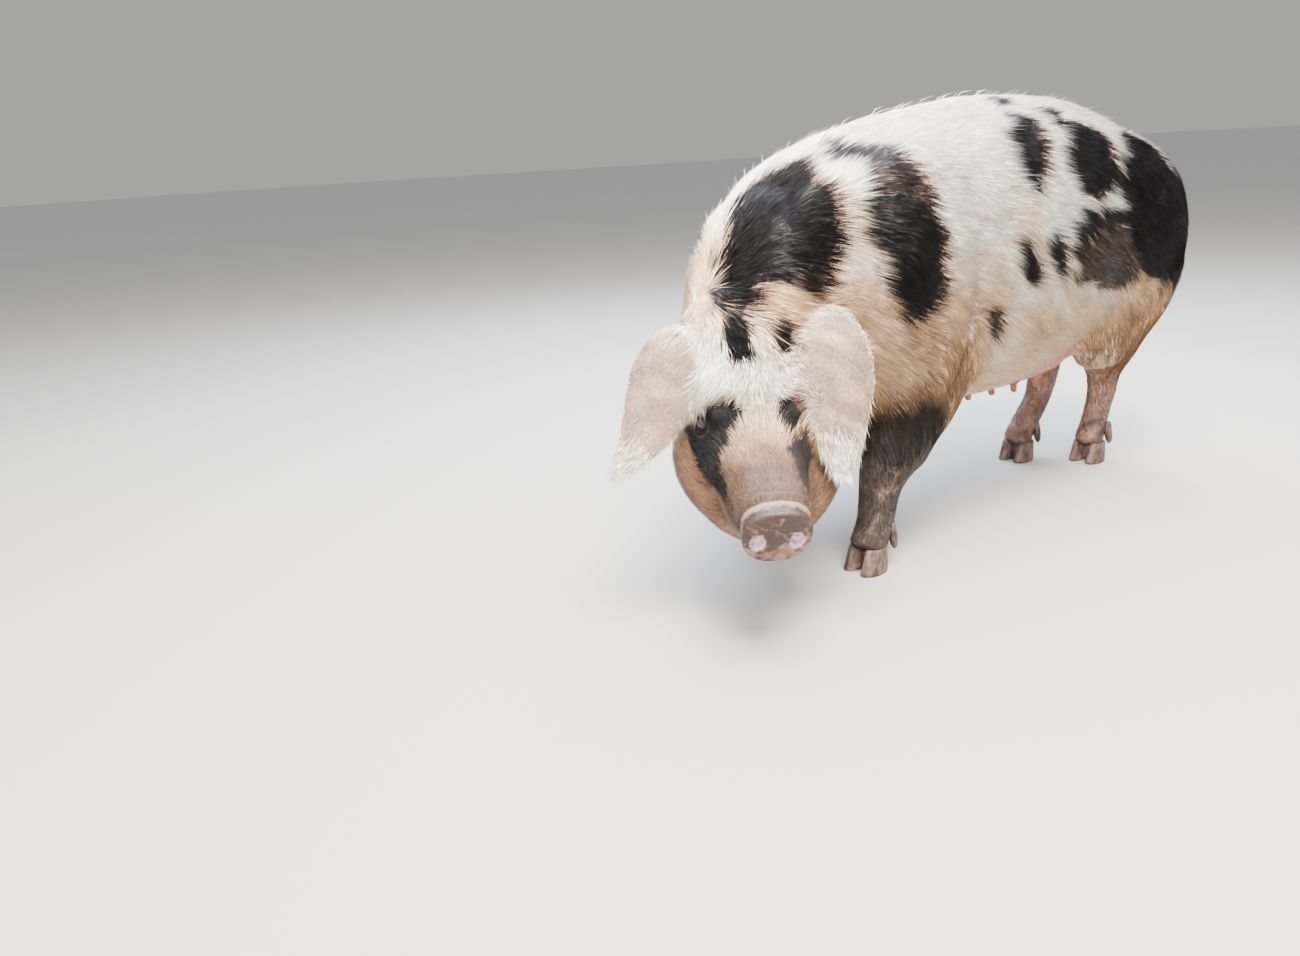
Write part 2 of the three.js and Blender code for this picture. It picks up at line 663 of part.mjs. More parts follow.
// Tail and ears grow out of the skin
pieces.set('tail', largest(cleared(tailForm().loft(8, 1), pieces.get('trunk'), [0, 1, 0])));
for (const [sign, side] of SIDES) {
  const outward = sum(scaled(HEAD.side, sign), HEAD.up);
  const neighbours = ['head', 'neck', 'trunk', `foreleg_${side}`, `eye_${side}`].map((name) => pieces.get(name));
  const ear = neighbours.reduce((rest, neighbour) => cleared(rest, neighbour, outward), earForm(sign).loft(10, 1));
  pieces.set(`ear_${side}`, largest(ear));
}

// ---------------------------------------------------------------- materials and the group

const FINISHES = {
  coat: { color: 0xd9c6ab, roughness: 0.85, metalness: 0 },
  ear: { color: 0xb9a09a, roughness: 0.7, metalness: 0 },
  snout: { color: 0xc48f86, roughness: 0.45, metalness: 0 },
  eye: { color: 0x2a1a12, roughness: 0.08, metalness: 0 },
  claw: { color: 0xb59c86, roughness: 0.6, metalness: 0 },
};

function finishOf(name) {
  const kind = ['ear', 'snout', 'eye'].find((word) => name.startsWith(word));
  return FINISHES[kind ?? (name.includes('claw') ? 'claw' : 'coat')];
}

const pig = new THREE.Group();
for (const [name, solid] of pieces) {
  const { vertProperties, triVerts } = solid.getMesh();
  const geometry = new THREE.BufferGeometry();
  geometry.setAttribute('position', new THREE.BufferAttribute(vertProperties, 3));
  geometry.setIndex(new THREE.BufferAttribute(triVerts, 1));
  const mesh = new THREE.Mesh(geometry, new THREE.MeshStandardMaterial(finishOf(name)));
  mesh.name = name;
  pig.add(mesh);
}

// The part's origin is the middle of its box, on the floor
const box = new THREE.Box3().setFromObject(pig);
const middle = box.getCenter(new THREE.Vector3());
pig.position.set(-middle.x, -middle.y, -box.min.z);

export default pig;
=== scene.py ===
"""A grown lop-eared sow as a museum shows her: skin, bristle coat, eyes, claws and a plain studio.

The flesh is one smooth form: swept limbs and ellipsoids whose signed distances are blended. The
skin is that form's surface, let in by the depth of the coat, and the coat is tapered bristles
rooted on the skin and laid along it. Shapes are worked out in millimetres in the pig's own frame,
in which she faces -Y, her left is +X and the floor is z = 0. Finished pieces are put into the
part's frame in metres.
"""

from __future__ import annotations

import logging
import math
from dataclasses import dataclass
from enum import IntEnum
from typing import Callable, Iterator, Optional, Protocol, Sequence

import bpy
import numpy as np
from mathutils import Matrix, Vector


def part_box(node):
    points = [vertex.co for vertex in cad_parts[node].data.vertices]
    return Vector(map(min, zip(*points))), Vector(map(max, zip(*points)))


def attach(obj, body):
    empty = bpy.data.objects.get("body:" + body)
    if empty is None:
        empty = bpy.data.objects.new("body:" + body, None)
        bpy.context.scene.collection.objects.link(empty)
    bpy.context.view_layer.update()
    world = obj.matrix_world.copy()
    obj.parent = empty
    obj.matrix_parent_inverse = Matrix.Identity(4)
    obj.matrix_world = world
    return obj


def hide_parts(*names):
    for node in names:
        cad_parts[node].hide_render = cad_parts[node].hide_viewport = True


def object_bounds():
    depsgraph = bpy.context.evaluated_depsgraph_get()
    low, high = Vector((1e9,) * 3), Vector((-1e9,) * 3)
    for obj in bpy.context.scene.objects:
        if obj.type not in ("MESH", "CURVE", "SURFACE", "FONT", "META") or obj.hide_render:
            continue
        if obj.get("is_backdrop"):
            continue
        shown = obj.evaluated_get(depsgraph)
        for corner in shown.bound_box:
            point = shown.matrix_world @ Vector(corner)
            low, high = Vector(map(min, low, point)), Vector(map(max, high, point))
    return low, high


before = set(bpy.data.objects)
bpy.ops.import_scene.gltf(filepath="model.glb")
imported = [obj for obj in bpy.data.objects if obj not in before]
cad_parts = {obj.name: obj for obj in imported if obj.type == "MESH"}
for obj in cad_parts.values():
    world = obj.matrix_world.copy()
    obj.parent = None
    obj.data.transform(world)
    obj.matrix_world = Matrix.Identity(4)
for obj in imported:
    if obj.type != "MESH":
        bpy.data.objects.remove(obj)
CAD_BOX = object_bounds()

LOG = logging.getLogger("sow")
Array = np.ndarray
SIDES = ((1, "left"), (-1, "right"))
MM = 0.001
FULL_TURN = 2 * math.pi
DOWN, BACK = np.array([0, 0, -1.0]), np.array([0, 1.0, 0])


class Part(IntEnum):
    """The parts of the body whose hair differs, numbered as the columns of their shares."""

    TRUNK = 0
    NECK = 1
    HEAD = 2
    FORELEG = 3
    HINDLEG = 4
    UDDER = 5
    EAR = 6
    TAIL = 7


# ---- small tools for arrays

def unit(v: Array) -> Array:
    """Vectors divided by their lengths."""
    v = np.asarray(v, float)
    return v / np.maximum(np.linalg.norm(v, axis=-1, keepdims=True), 1e-12)


def dots(a: Array, b: Array) -> Array:
    """Row by row dot products."""
    return (a * b).sum(-1)


def ramp(x: Array, start: float, end: float) -> Array:
    """A smooth step from 0 at start to 1 at end: 3t^2 - 2t^3."""
    t = np.clip((x - start) / (end - start), 0, 1)
    return t * t * (3 - 2 * t)


def bell(x: Array, middle: float, width: float) -> Array:
    """A bump of height 1: exp(-((x - middle) / width)^2)."""
    return np.exp(-(((x - middle) / width) ** 2))


def blended(a: Array, b: Array, share: Array) -> Array:
    """Row by row, a where the share is 0 and b where it is 1.

    Args:
        a: one row, or one for each share.
        b: the same.
        share: one number for each row, or an array as wide as the rows.

    Returns:
        a (1 - share) + b share.
    """
    share = np.asarray(share, float)
    if share.ndim == 1:
        share = share[:, None]
    return a * (1 - share) + b * share


def smooth_min(a: Array, b: Array, width: float) -> Array:
    """The lower of two values, rounded where they are close.

    Args:
        a: values.
        b: values.
        width: how close the values are where the rounding starts.

    Returns:
        min - h^2 / 4w, with h what the values' difference lacks of the width w.
    """
    if width <= 0:
        return np.minimum(a, b)
    h = np.maximum(width - np.abs(a - b), 0)
    return np.minimum(a, b) - h * h / (4 * width)


def smooth_rows(rows: Array, steps: int) -> Array:
    """Catmull-Rom samples through the rows, a few to each span.

    Args:
        rows: one station in each row.
        steps: samples in each span.

    Returns:
        The samples, ending on the last row.
    """
    p = np.vstack([2 * rows[0] - rows[1], rows, 2 * rows[-1] - rows[-2]])
    t = np.linspace(0, 1, steps, endpoint=False)[:, None]
    out = []
    for a, b, c, d in zip(p, p[1:], p[2:], p[3:]):
        out.append(0.5 * (2 * b + (c - a) * t + (2 * a - 5 * b + 4 * c - d) * t**2
                          + (3 * b - a - 3 * c + d) * t**3))
    return np.vstack(out + [rows[-1:]])


class Noise:
    """Smooth noise in three dimensions: a few plane waves in random directions, bent by each other."""

    def __init__(self, seed: int, waves: int = 9) -> None:
        """Draws the directions and phases of the waves.

        Args:
            seed: start of the draws.
            waves: how many waves.
        """
        rng = np.random.default_rng(seed)
        self.direction = unit(rng.normal(size=(waves, 3))) * rng.uniform(0.6, 1.6, (waves, 1))
        self.phase = rng.uniform(0, FULL_TURN, waves)

    def __call__(self, p: Array, size: float) -> Array:
        """The waves' sines at each point, added up to about -1 to 1.

        Args:
            p: points.
            size: length of the swells.

        Returns:
            One value for each point.
        """
        angle = p @ (self.direction.T * (FULL_TURN / size)) + self.phase
        bent = angle + 1.4 * np.sin(np.roll(angle, 1, axis=1) * 0.7)
        return np.sin(bent).sum(1) / math.sqrt(len(self.phase)) * 0.8


# ---- the shapes that make the flesh

class Shape(Protocol):
    """What every shape has: a box that holds it, from low to high, and a signed distance."""

    low: Array
    high: Array

    def distance(self, p: Array) -> Array:
        """Signed distance of points, negative inside."""


def inside_box(p: Array, shape: Shape, margin: float) -> Array:
    """Indices of the points in a shape's own box, widened by the margin."""
    return np.flatnonzero(((p > shape.low - margin) & (p < shape.high + margin)).all(1))


class Sweep:
    """A limb swept along a curve, with a superelliptic section that may bend, and rounded ends."""

    def __init__(self, rows: Sequence[Sequence[float]], side: Sequence[float] = (1, 0, 0),
                 side_end: Optional[Sequence[float]] = None, up: Sequence[float] = (0, 0, 1),
                 caps: tuple[float, float] = (40, 40), power: float = 2.2, steps: int = 6,
                 camber: float = 0.0) -> None:
        """Keeps the stations and works out the section's axes at each.

        Args:
            rows: stations of x, y, z and the reach to the side, up and down.
            side: the section's wide direction at the start.
            side_end: the same at the end, if the limb twists.
            up: the side of the section that counts as up.
            caps: how far the rounded ends reach.
            power: the superellipse's power.
            steps: samples in each span.
            camber: how far the section bends down at its edges, as a share of its half width.
        """
        self.rows = smooth_rows(np.asarray(rows, float), steps)
        self.at, self.size = self.rows[:, :3], self.rows[:, 3:]
        self.caps, self.power, self.camber = caps, power, camber
        self.up = np.asarray(up, float)
        along = unit(np.diff(self.at, axis=0))
        self.tangent = unit(np.vstack([along[:1], along[:-1] + along[1:], along[-1:]]))
        start = np.asarray(side, float)
        end = start if side_end is None else np.asarray(side_end, float)
        share = np.linspace(0, 1, len(self.at))[:, None]
        self.wanted = start * (1 - share) + end * share
        reach = self.size.max() + max(caps)
        self.low, self.high = self.at.min(0) - reach, self.at.max(0) + reach

    def local(self, p: Array) -> tuple[Array, Array, Array, Array, Array, Array]:
        """Places points on the limb.

        Args:
            p: points.

        Returns:
            How far along they are (0 to 1), across, above, past the end, the section's reaches
            there, and the curve's direction.
        """
        start, step = self.at[:-1], np.diff(self.at, axis=0)
        length = dots(step, step)
        best = np.full(len(p), np.inf)
        index = np.zeros(len(p), int)
        part = np.zeros(len(p))
        for i in range(len(start)):
            q = p - start[i]
            t = np.clip(q @ step[i] / length[i], 0, 1)
            q -= t[:, None] * step[i]
            r = np.einsum("ij,ij->i", q, q)
            closer = r < best
            best[closer], index[closer], part[closer] = r[closer], i, t[closer]
        t = part[:, None]
        tangent = unit(self.tangent[index] * (1 - t) + self.tangent[index + 1] * t)
        wanted = self.wanted[index] * (1 - t) + self.wanted[index + 1] * t
        side = unit(wanted - dots(wanted, tangent)[:, None] * tangent)
        normal = np.cross(side, tangent)
        normal *= np.where(normal @ self.up < 0, -1, 1)[:, None]
        size = self.size[index] * (1 - t) + self.size[index + 1] * t
        q = p - start[index] - t * step[index]
        across = dots(q, side)
        above = dots(q, normal) + self.camber * across**2 / size[:, 0]
        at_start = (index == 0) & (part == 0)
        at_end = (index == len(start) - 1) & (part == 1)
        past = np.where(at_start | at_end, dots(q, tangent), 0)
        return (index + part) / len(start), across, above, past, size, tangent

    def distance(self, p: Array) -> Array:
        """Signed distance, near enough.

        Args:
            p: points.

        Returns:
            r (1 - 1 / g) of each, with r its distance from the curve and g its superellipse norm.
        """
        along, x, z, s, size, _ = self.local(p)
        n = self.power
        tall = np.where(z > 0, size[:, 1], size[:, 2])
        cap = np.where(along < 0.5, self.caps[0], self.caps[1])
        g = (np.abs(x / size[:, 0])**n + np.abs(z / tall)**n + np.abs(s / cap)**n) ** (1 / n)
        rho = np.sqrt(x * x + z * z + s * s)
        return np.where(g > 1e-5, rho * (1 - 1 / np.maximum(g, 1e-5)), -tall)


class Blob:
    """An ellipsoid, with its own axes where they are given."""

    def __init__(self, at: Sequence[float], radii: Sequence[float],
                 axes: Optional[Sequence[Array]] = None) -> None:
        """Keeps the ellipsoid.

        Args:
            at: its centre.
            radii: its three radii.
            axes: their directions, or none if they are x, y and z.
        """
        self.at, self.radii = np.asarray(at, float), np.asarray(radii, float)
        self.axes = np.eye(3) if axes is None else np.asarray(axes, float)
        self.low, self.high = self.at - self.radii.max(), self.at + self.radii.max()

    def norm(self, p: Array) -> Array:
        """The distance from the centre as a share of the radius that way."""
        return np.linalg.norm((p - self.at) @ self.axes.T / self.radii, axis=1)

    def distance(self, p: Array) -> Array:
        """Signed distance, near enough: r (1 - 1 / g), with g the ellipsoid's norm."""
        g = np.maximum(self.norm(p), 1e-6)
        return np.linalg.norm(p - self.at, axis=1) * (1 - 1 / g)


class Flesh:
    """Shapes joined one after another with rounded joins."""

    FAR = 120.0
    MARGIN = 20.0

    def __init__(self) -> None:
        """Starts with nothing."""
        self.shapes: list[tuple[Shape, float]] = []

    def add(self, shape: Shape, width: float) -> None:
        """Joins a shape with a rounding of the width."""
        self.shapes.append((shape, width))

    def distance(self, p: Array) -> Array:
        """Signed distance, near enough, capped far outside.

        Args:
            p: points.

        Returns:
            The blended distance of each point. A shape is only measured near its own box.
        """
        d = np.full(len(p), self.FAR)
        for shape, width in self.shapes:
            near = inside_box(p, shape, width + self.MARGIN)
            if len(near):
                d[near] = smooth_min(d[near], shape.distance(p[near]), width)
        return d


class Turned:
    """A frame turned to the pig's left and pitched down: side, forward and up directions."""

    def __init__(self, yaw: float, pitch: float) -> None:
        """Works out the directions.

        Args:
            yaw: turn to the left, in degrees.
            pitch: turn down, in degrees.
        """
        y, p = math.radians(yaw), math.radians(pitch)
        self.forward = np.array([math.sin(y) * math.cos(p), -math.cos(y) * math.cos(p), -math.sin(p)])
        self.side = np.array([math.cos(y), math.sin(y), 0.0])
        self.up = np.cross(self.forward, self.side)


def gradient(level: Callable[[Array], Array], p: Array, step: float = 0.6) -> Array:
    """Slope of a level function by central differences.

    Args:
        level: the function.
        p: points.
        step: half the distance between the two values that are compared.

    Returns:
        A vector for each point.
    """
    out = np.empty_like(p)
    for axis in range(3):
        shift = np.zeros(3)
        shift[axis] = step
        out[:, axis] = (level(p + shift) - level(p - shift)) / (2 * step)
    return out


def onto(level: Callable[[Array], Array], p: Array, passes: int = 4, most: float = 8.0) -> Array:
    """Moves points onto the zero of a level function along its slope, by Newton's steps.

    Args:
        level: the function.
        p: points near its zero.
        passes: steps taken.
        most: the longest step.

    Returns:
        The moved points.
    """
    least_slope = 0.15
    for _ in range(passes):
        slope = gradient(level, p)
        steep = np.maximum(dots(slope, slope), least_slope)
        move = np.clip(-level(p) / steep, -most, most)
        p = p + slope * move[:, None]
    return p


# ---- the forms of the body

@dataclass
class Anatomy:
    """The sow's forms, with the sizes and places that drive them."""

    head_yaw: float = 57.5
    head_pitch: float = 43.0
    disc_lift: float = 20.0
    poll: tuple[float, float, float] = (95, -600, 515)
    head_length: float = 385
    jowl_out: tuple[float, float] = (66, 44)
    eye_along: float = 180
    eye_drop: float = 86
    eye_depth: float = 12.5
    coronet: float = 44
    fore_foot: tuple[float, float] = (140, -368)
    hind_foot: tuple[float, float] = (60, 468)
    hind_right_ahead: float = 100

    def __post_init__(self) -> None:
        """Sets up the turned frames and every form."""
        self.head = Turned(self.head_yaw, self.head_pitch)
        self.disc = Turned(self.head_yaw, self.head_pitch - self.disc_lift)
        self.disc_middle = self.on_head(self.head_length - 7, 0, -56)
        self.chin = [self.head_blob(155, 0, -160, (124, 125, 84)),
                     self.head_blob(232, 8, -158, (112, 118, 50)),
                     self.head_blob(296, 3, -116, (68, 66, 40))]
        self.shoulders = {sign: Blob((sign * 130, -300, 500), (105, 150, 220)) for sign, _ in SIDES}
        self.hams = {sign: Blob((sign * 120, 440, 520), (112, 192, 205)) for sign, _ in SIDES}
        self.glands = {sign: Blob((sign * 60, 285, 292), (44, 70, 42)) for sign, _ in SIDES}
        self.udder = Blob((0, 200, 262), (80, 150, 36))
        self.trunk_form = self._trunk()
        self.neck_form = Sweep([[0, -340, 520, 190, 200, 190], [10, -450, 475, 165, 175, 150],
                                [45, -560, 415, 125, 125, 125]], caps=(50, 70))
        self.head_form = self._head()
        self.ears = {sign: self._ear(sign) for sign, _ in SIDES}
        self.forelegs = {sign: self._foreleg(sign) for sign, _ in SIDES}
        self.hindlegs = {sign: self._hindleg(sign) for sign, _ in SIDES}
        self.tail_form = Sweep(
            [[0, 575, 660, 24, 24, 24], [0, 625, 652, 20, 20, 20], [4, 655, 612, 15, 15, 15],
             [12, 662, 560, 11, 11, 11], [22, 655, 512, 9, 9, 9], [24, 645, 470, 7, 7, 7],
             [18, 640, 436, 5, 5, 5]], up=(0, 1, 0.3), power=2, caps=(20, 10), steps=3)
        self.flesh = self._flesh()

    def on_head(self, along: float, left: float, above: float) -> Array:
        """A point of the head: along the face from the poll, to the pig's left, and above."""
        return (np.asarray(self.poll, float) + self.head.forward * along + self.head.side * left
                + self.head.up * above)

    def in_head(self, p: Array) -> Array:
        """The same three measures of points, as columns."""
        q = p - np.asarray(self.poll, float)
        return np.stack([q @ self.head.forward, q @ self.head.side, q @ self.head.up], 1)

    def head_blob(self, along: float, left: float, above: float, radii: Sequence[float]) -> Blob:
        """An ellipsoid lying in the head, with its radii across, along and up."""
        return Blob(self.on_head(along, left, above), radii,
                    [self.head.side, self.head.forward, self.head.up])

    def jowl(self, sign: int, out: float) -> Blob:
        """The full cheek under the jaw on one side, so far out from the middle of the face."""
        return self.head_blob(195, sign * out, -162, (84, 98, 72))

    def _trunk(self) -> Sweep:
        """The trunk, from stations of y, height of the back, height of the belly and half width."""
        stations = ((-470, 670, 335, 150), (-380, 736, 285, 195), (-250, 780, 258, 222),
                    (-80, 807, 242, 240), (100, 825, 242, 250), (270, 821, 288, 236),
                    (410, 776, 342, 206), (525, 684, 420, 150))
        rows = [[0, y, (back + belly) / 2, half, (back - belly) / 2, (back - belly) / 2]
                for y, back, belly, half in stations]
        return Sweep(rows, caps=(90, 88), power=2.25)

    def _head(self) -> Sweep:
        """The head, from stations along the face: drop of the middle, half width, up and down."""
        stations = ((0, -70, 84, 66, 115), (60, -72, 95, 72, 135), (120, -80, 96, 66, 138),
                    (180, -88, 86, 58, 122), (240, -84, 74, 49, 102), (300, -70, 62, 44, 80),
                    (355, -58, 54, 42, 54))
        rows = [[*self.on_head(along, 0, drop), *reach] for along, drop, *reach in stations]
        return Sweep(rows, side=self.head.side, up=self.head.up, caps=(70, 20), power=2.3)

    def _disc(self) -> Sweep:
        """The nose disc, a short wide stub on the end of the snout."""
        behind = self.disc_middle - 14 * self.disc.forward
        front = self.disc_middle + 6 * self.disc.forward
        return Sweep([[*behind, 50, 40, 52], [*front, 53, 42, 55]], side=self.head.side,
                     up=self.head.up, caps=(8, 7), power=2.4, steps=2)

    def _ear(self, sign: int) -> Sweep:
        """An ear that hangs forward over the eye: along the face, out, above and half width.

        Args:
            sign: 1 for the left one, -1 for the right.

        Returns:
            Its form.
        """
        stations = (((10, 72, -24, 42), (40, 104, -2, 58), (95, 118, 0, 80), (150, 124, -26, 79),
                     (205, 126, -60, 54), (262, 126, -98, 18)) if sign > 0 else
                    ((22, 72, -34, 34), (54, 108, -22, 49), (98, 137, -38, 59), (146, 156, -64, 56),
                     (192, 186, -92, 37), (226, 216, -106, 14)))
        rows = [[*self.on_head(along, sign * out, above), half, 6, 6]
                for along, out, above, half in stations]
        inward = -sign * self.head.side
        return Sweep(rows, side=0.8 * self.head.forward + inward,
                     side_end=0.3 * self.head.forward + inward, up=self.head.up, caps=(30, 12),
                     power=2, steps=3, camber=0.22)

    @staticmethod
    def _limb(sign: int, stations: Sequence[Sequence[float]]) -> Sweep:
        """A leg, from stations of out, y, z, half width, reach forward and reach back."""
        rows = [[sign * out, y, z, half, back, fore] for out, y, z, half, fore, back in stations]
        return Sweep(rows, up=(0, 1, 0.2), power=2, caps=(40, 20))

    def _foreleg(self, sign: int) -> Sweep:
        """A foreleg, from the elbow down."""
        x, y = self.fore_foot
        return self._limb(sign, (
            (x + 15, -240, 420, 65, 140, 150), (x + 15, -262, 340, 58, 103, 134),
            (x + 10, -302, 265, 50, 74, 112), (x + 6, -330, 205, 43, 46, 98),
            (x + 2, y + 27, 158, 38, 36, 60), (x, y + 24, 128, 36, 33, 50),
            (x, y + 18, 85, 35, 35, 41), (x, y + 3, 50, 36, 38, 38)))

    def _hindleg(self, sign: int) -> Sweep:
        """A hind leg, from the stifle down, with its hock.

        Args:
            sign: 1 for the left one, -1 for the right.

        Returns:
            Its form.
        """
        x, y = self.hind_foot
        ahead = self.hind_right_ahead if sign < 0 else 0
        return self._limb(sign, (
            (x + 60, 455, 430, 84, 165, 184), (x + 47, 470, 350, 82, 160, 142),
            (x + 20, 505 - 0.3 * ahead, 265, 53, 110, 72), (x + 6, 512 - 0.35 * ahead, 205, 33, 66, 39),
            (x + 3, 508 - 0.5 * ahead, 165, 31, 46, 37), (x, 500 - 0.65 * ahead, 130, 30, 37, 34),
            (x, y + 15 - 0.9 * ahead, 85, 31, 34, 34), (x, y - ahead, 50, 33, 38, 36)))

    def _flesh(self) -> Flesh:
        """Everything but the ears and the tail, blended into one form."""
        flesh = Flesh()
        for shape, width in ((self.trunk_form, 0), (self.neck_form, 60), (self.head_form, 50),
                             *zip(self.chin, (60, 30, 25)), (self._disc(), 6)):
            flesh.add(shape, width)
        for (sign, _), jowl_out in zip(SIDES, self.jowl_out):
            flesh.add(self.jowl(sign, jowl_out), 30)
            flesh.add(self.head_blob(148, sign * 62, -36, (27, 45, 26)), 30)    # brow
            flesh.add(self.head_blob(175, sign * 70, -96, (26, 75, 36)), 30)    # cheekbone
            flesh.add(self.shoulders[sign], 60)
            flesh.add(self.forelegs[sign], 50)
            flesh.add(self.hams[sign], 60)
            flesh.add(self.hindlegs[sign], 50)
            flesh.add(self.glands[sign], 30)
        flesh.add(self.udder, 40)
        flesh.add(Blob((0, 608, 555), (22, 26, 42)), 25)    # under the tail
        return flesh


# ---- the marks of the coat

@dataclass(frozen=True)
class Patch:
    """A dark spot of the coat, an oval lying on the body.

    Its long half runs at the tilt from straight back towards the floor, in degrees. Brown is how
    rusty its hairs are, and share how many of the hairs there are dark.
    """

    at: tuple[float, float, float]
    long: float
    wide: float
    tilt: float = 0.0
    brown: float = 0.0
    share: float = 1.0

    def axes(self, outward: Array) -> Array:
        """The oval's own directions.

        Args:
            outward: the way that its middle faces.

        Returns:
            Rows: along the oval, across it and outward.
        """
        back = unit(BACK - outward * outward[1])
        down = np.cross(outward, back)
        down = -down if down[2] > 0 else down
        t = math.radians(self.tilt)
        along = back * math.cos(t) + down * math.sin(t)
        return np.stack([along, np.cross(outward, along), outward])


BODY_PATCHES = (
    # nape and neck
    Patch((72, -508, 632), 112, 98, -58), Patch((55, -604, 549), 58, 36, -76),
    Patch((156, -509, 546), 36, 28, -13, 0.6), Patch((-120, -500, 590), 92, 50, 10),
    # bow over the withers, running into the left shoulder
    Patch((78, -372, 736), 68, 34, 72), Patch((142, -340, 716), 70, 39, 64, 0.3),
    Patch((185, -345, 680), 72, 44, 40, 0.6), Patch((205, -366, 636), 76, 58, 5, 0.1),
    Patch((229, -356, 538), 80, 60, 66), Patch((222, -342, 592), 64, 62, 60, 0.1),
    # loin and back
    Patch((186, -8, 728), 86, 46, -58), Patch((73, 45, 812), 36, 20, -56),
    Patch((140, 120, 785), 35, 23, -57), Patch((206, 164, 703), 102, 70, -27),
    # rump and ham
    Patch((199, 400, 663), 108, 78, 50), Patch((222, 408, 568), 192, 116, 34),
    Patch((226, 262, 640), 84, 36, 50, 0.4), Patch((180, 525, 585), 124, 62, 80),
    Patch((245, 84, 558), 62, 25, 86), Patch((243, 160, 590), 92, 24, 4, 0.1),
    Patch((240, 215, 512), 150, 66, 8, 0.75, 0.74),
    # flank
    Patch((241, -58, 532), 54, 31, 70), Patch((246, 12, 534), 44, 23, 67),
    Patch((227, -134, 432), 30, 17, 56), Patch((236, -144, 524), 18, 9, 83, 0.3, 0.6),
    # elbow
    Patch((187, -317, 261), 88, 62, -11), Patch((150, -370, 268), 52, 50, 60),
    # the right side
    Patch((-205, -330, 640), 110, 78, 35), Patch((-236, -120, 560), 46, 34, 60),
    Patch((-170, 20, 745), 92, 60, -30), Patch((-245, 90, 520), 52, 30, 70),
    Patch((-225, 300, 640), 104, 74, 40), Patch((-190, 470, 560), 120, 92, 60),
    Patch((-236, 170, 400), 34, 22, 40, 0.3, 0.8), Patch((-60, 250, 822), 60, 34, 10),
    Patch((-70, -200, 800), 44, 30, -30),
    # rear
    Patch((120, 590, 620), 70, 46, 70), Patch((-110, 610, 560), 60, 44, 80),
)

# Along the face, to the left, above; then as above, with the tilt turning from along the face
# towards the left.
FACE_PATCHES = (
    ((43, -22, 6), 62, 18, 4, 0.0), ((52, 43, 7), 40, 17, 20, 0.0),
    ((201, -70, -42), 42, 30, -8, 0.0), ((196, -92, -76), 48, 34, 0, 0.0),
    ((260, -77, -84), 62, 23, -4, 0.0), ((179, -32, -26), 22, 13, -10, 0.0),
    ((200, 45, -35), 66, 18, 10, 0.15), ((256, 57, -58), 72, 22, 6, 0.25),
    ((304, 46, -62), 34, 18, 0, 0.6),
)


class Markings:
    """Where coat and skin are dark, and how brown or stained they are."""

    FACE_DEPTH = 30.0
    PALE = -60.0

    def __init__(self, anatomy: Anatomy) -> None:
        """Turns the patches into ellipsoids that lie on the body.

        Args:
            anatomy: the forms.
        """
        self.anatomy = anatomy
        self.edge = Noise(11)
        self.fine = Noise(12)
        self.broad = Noise(13)
        self.ovals: list[tuple[Blob, float, float]] = []
        for patch in BODY_PATCHES:
            at = np.asarray([patch.at], float)
            outward = unit(gradient(anatomy.flesh.distance, at, 12.0))[0]
            radii = (patch.long, patch.wide, 0.8 * patch.long + 12)
            self.ovals.append((Blob(patch.at, radii, patch.axes(outward)), patch.brown, patch.share))
        head = anatomy.head
        for place, long, wide, tilt, brown in FACE_PATCHES:
            t = math.radians(tilt)
            along = head.forward * math.cos(t) + head.side * math.sin(t)
            axes = [along, np.cross(head.up, along), head.up]
            oval = Blob(anatomy.on_head(*place), (long, wide, self.FACE_DEPTH), axes)
            self.ovals.append((oval, brown, 1.0))

    def dark(self, p: Array) -> tuple[Array, Array, Array]:
        """Where points lie in the dark patches.

        The margin of an oval is (1 - norm) times its lesser radius; overlapping ovals take the
        largest margin, and smooth noise at two scales makes the edges wander.

        Args:
            p: points.

        Returns:
            How far inside a patch each is, how brown it is there, and its share of dark hairs.
        """
        inside = np.full(len(p), self.PALE)
        brown, share = np.zeros(len(p)), np.ones(len(p))
        for blob, tint, full in self.ovals:
            near = inside_box(p, blob, -self.PALE)
            if not len(near):
                continue
            margin = (1 - blob.norm(p[near])) * min(blob.radii[0], blob.radii[1])
            deeper = margin > inside[near]
            brown[near] = np.where(deeper, tint, brown[near])
            share[near] = np.where(deeper, full, share[near])
            inside[near] = -smooth_min(-inside[near], -margin, 14)
        wander = 7 * self.edge(p, 70) + 3.5 * self.fine(p, 24)
        return inside + wander, brown, share

    def stain(self, p: Array) -> Array:
        """How tan and dirty the pale coat is: low on the body, and in broad clouds.

        Args:
            p: points.

        Returns:
            0 to 1 for each.
        """
        low = ramp(p[:, 2], 730, 290)
        front = ramp(p[:, 1], -60, -330) * ramp(p[:, 2], 660, 430)
        thigh = bell(p[:, 1], 520, 200) * ramp(p[:, 2], 600, 430)
        streaks = self.broad(p * np.array([1, 0.35, 1]), 26)
        clouds = (0.16 * self.broad(p, 210) + 0.13 * streaks) * ramp(p[:, 2], 800, 560)
        return np.clip(0.06 + 0.4 * low + 0.44 * front + 0.45 * thigh + clouds, 0, 1)


# ---- the skin

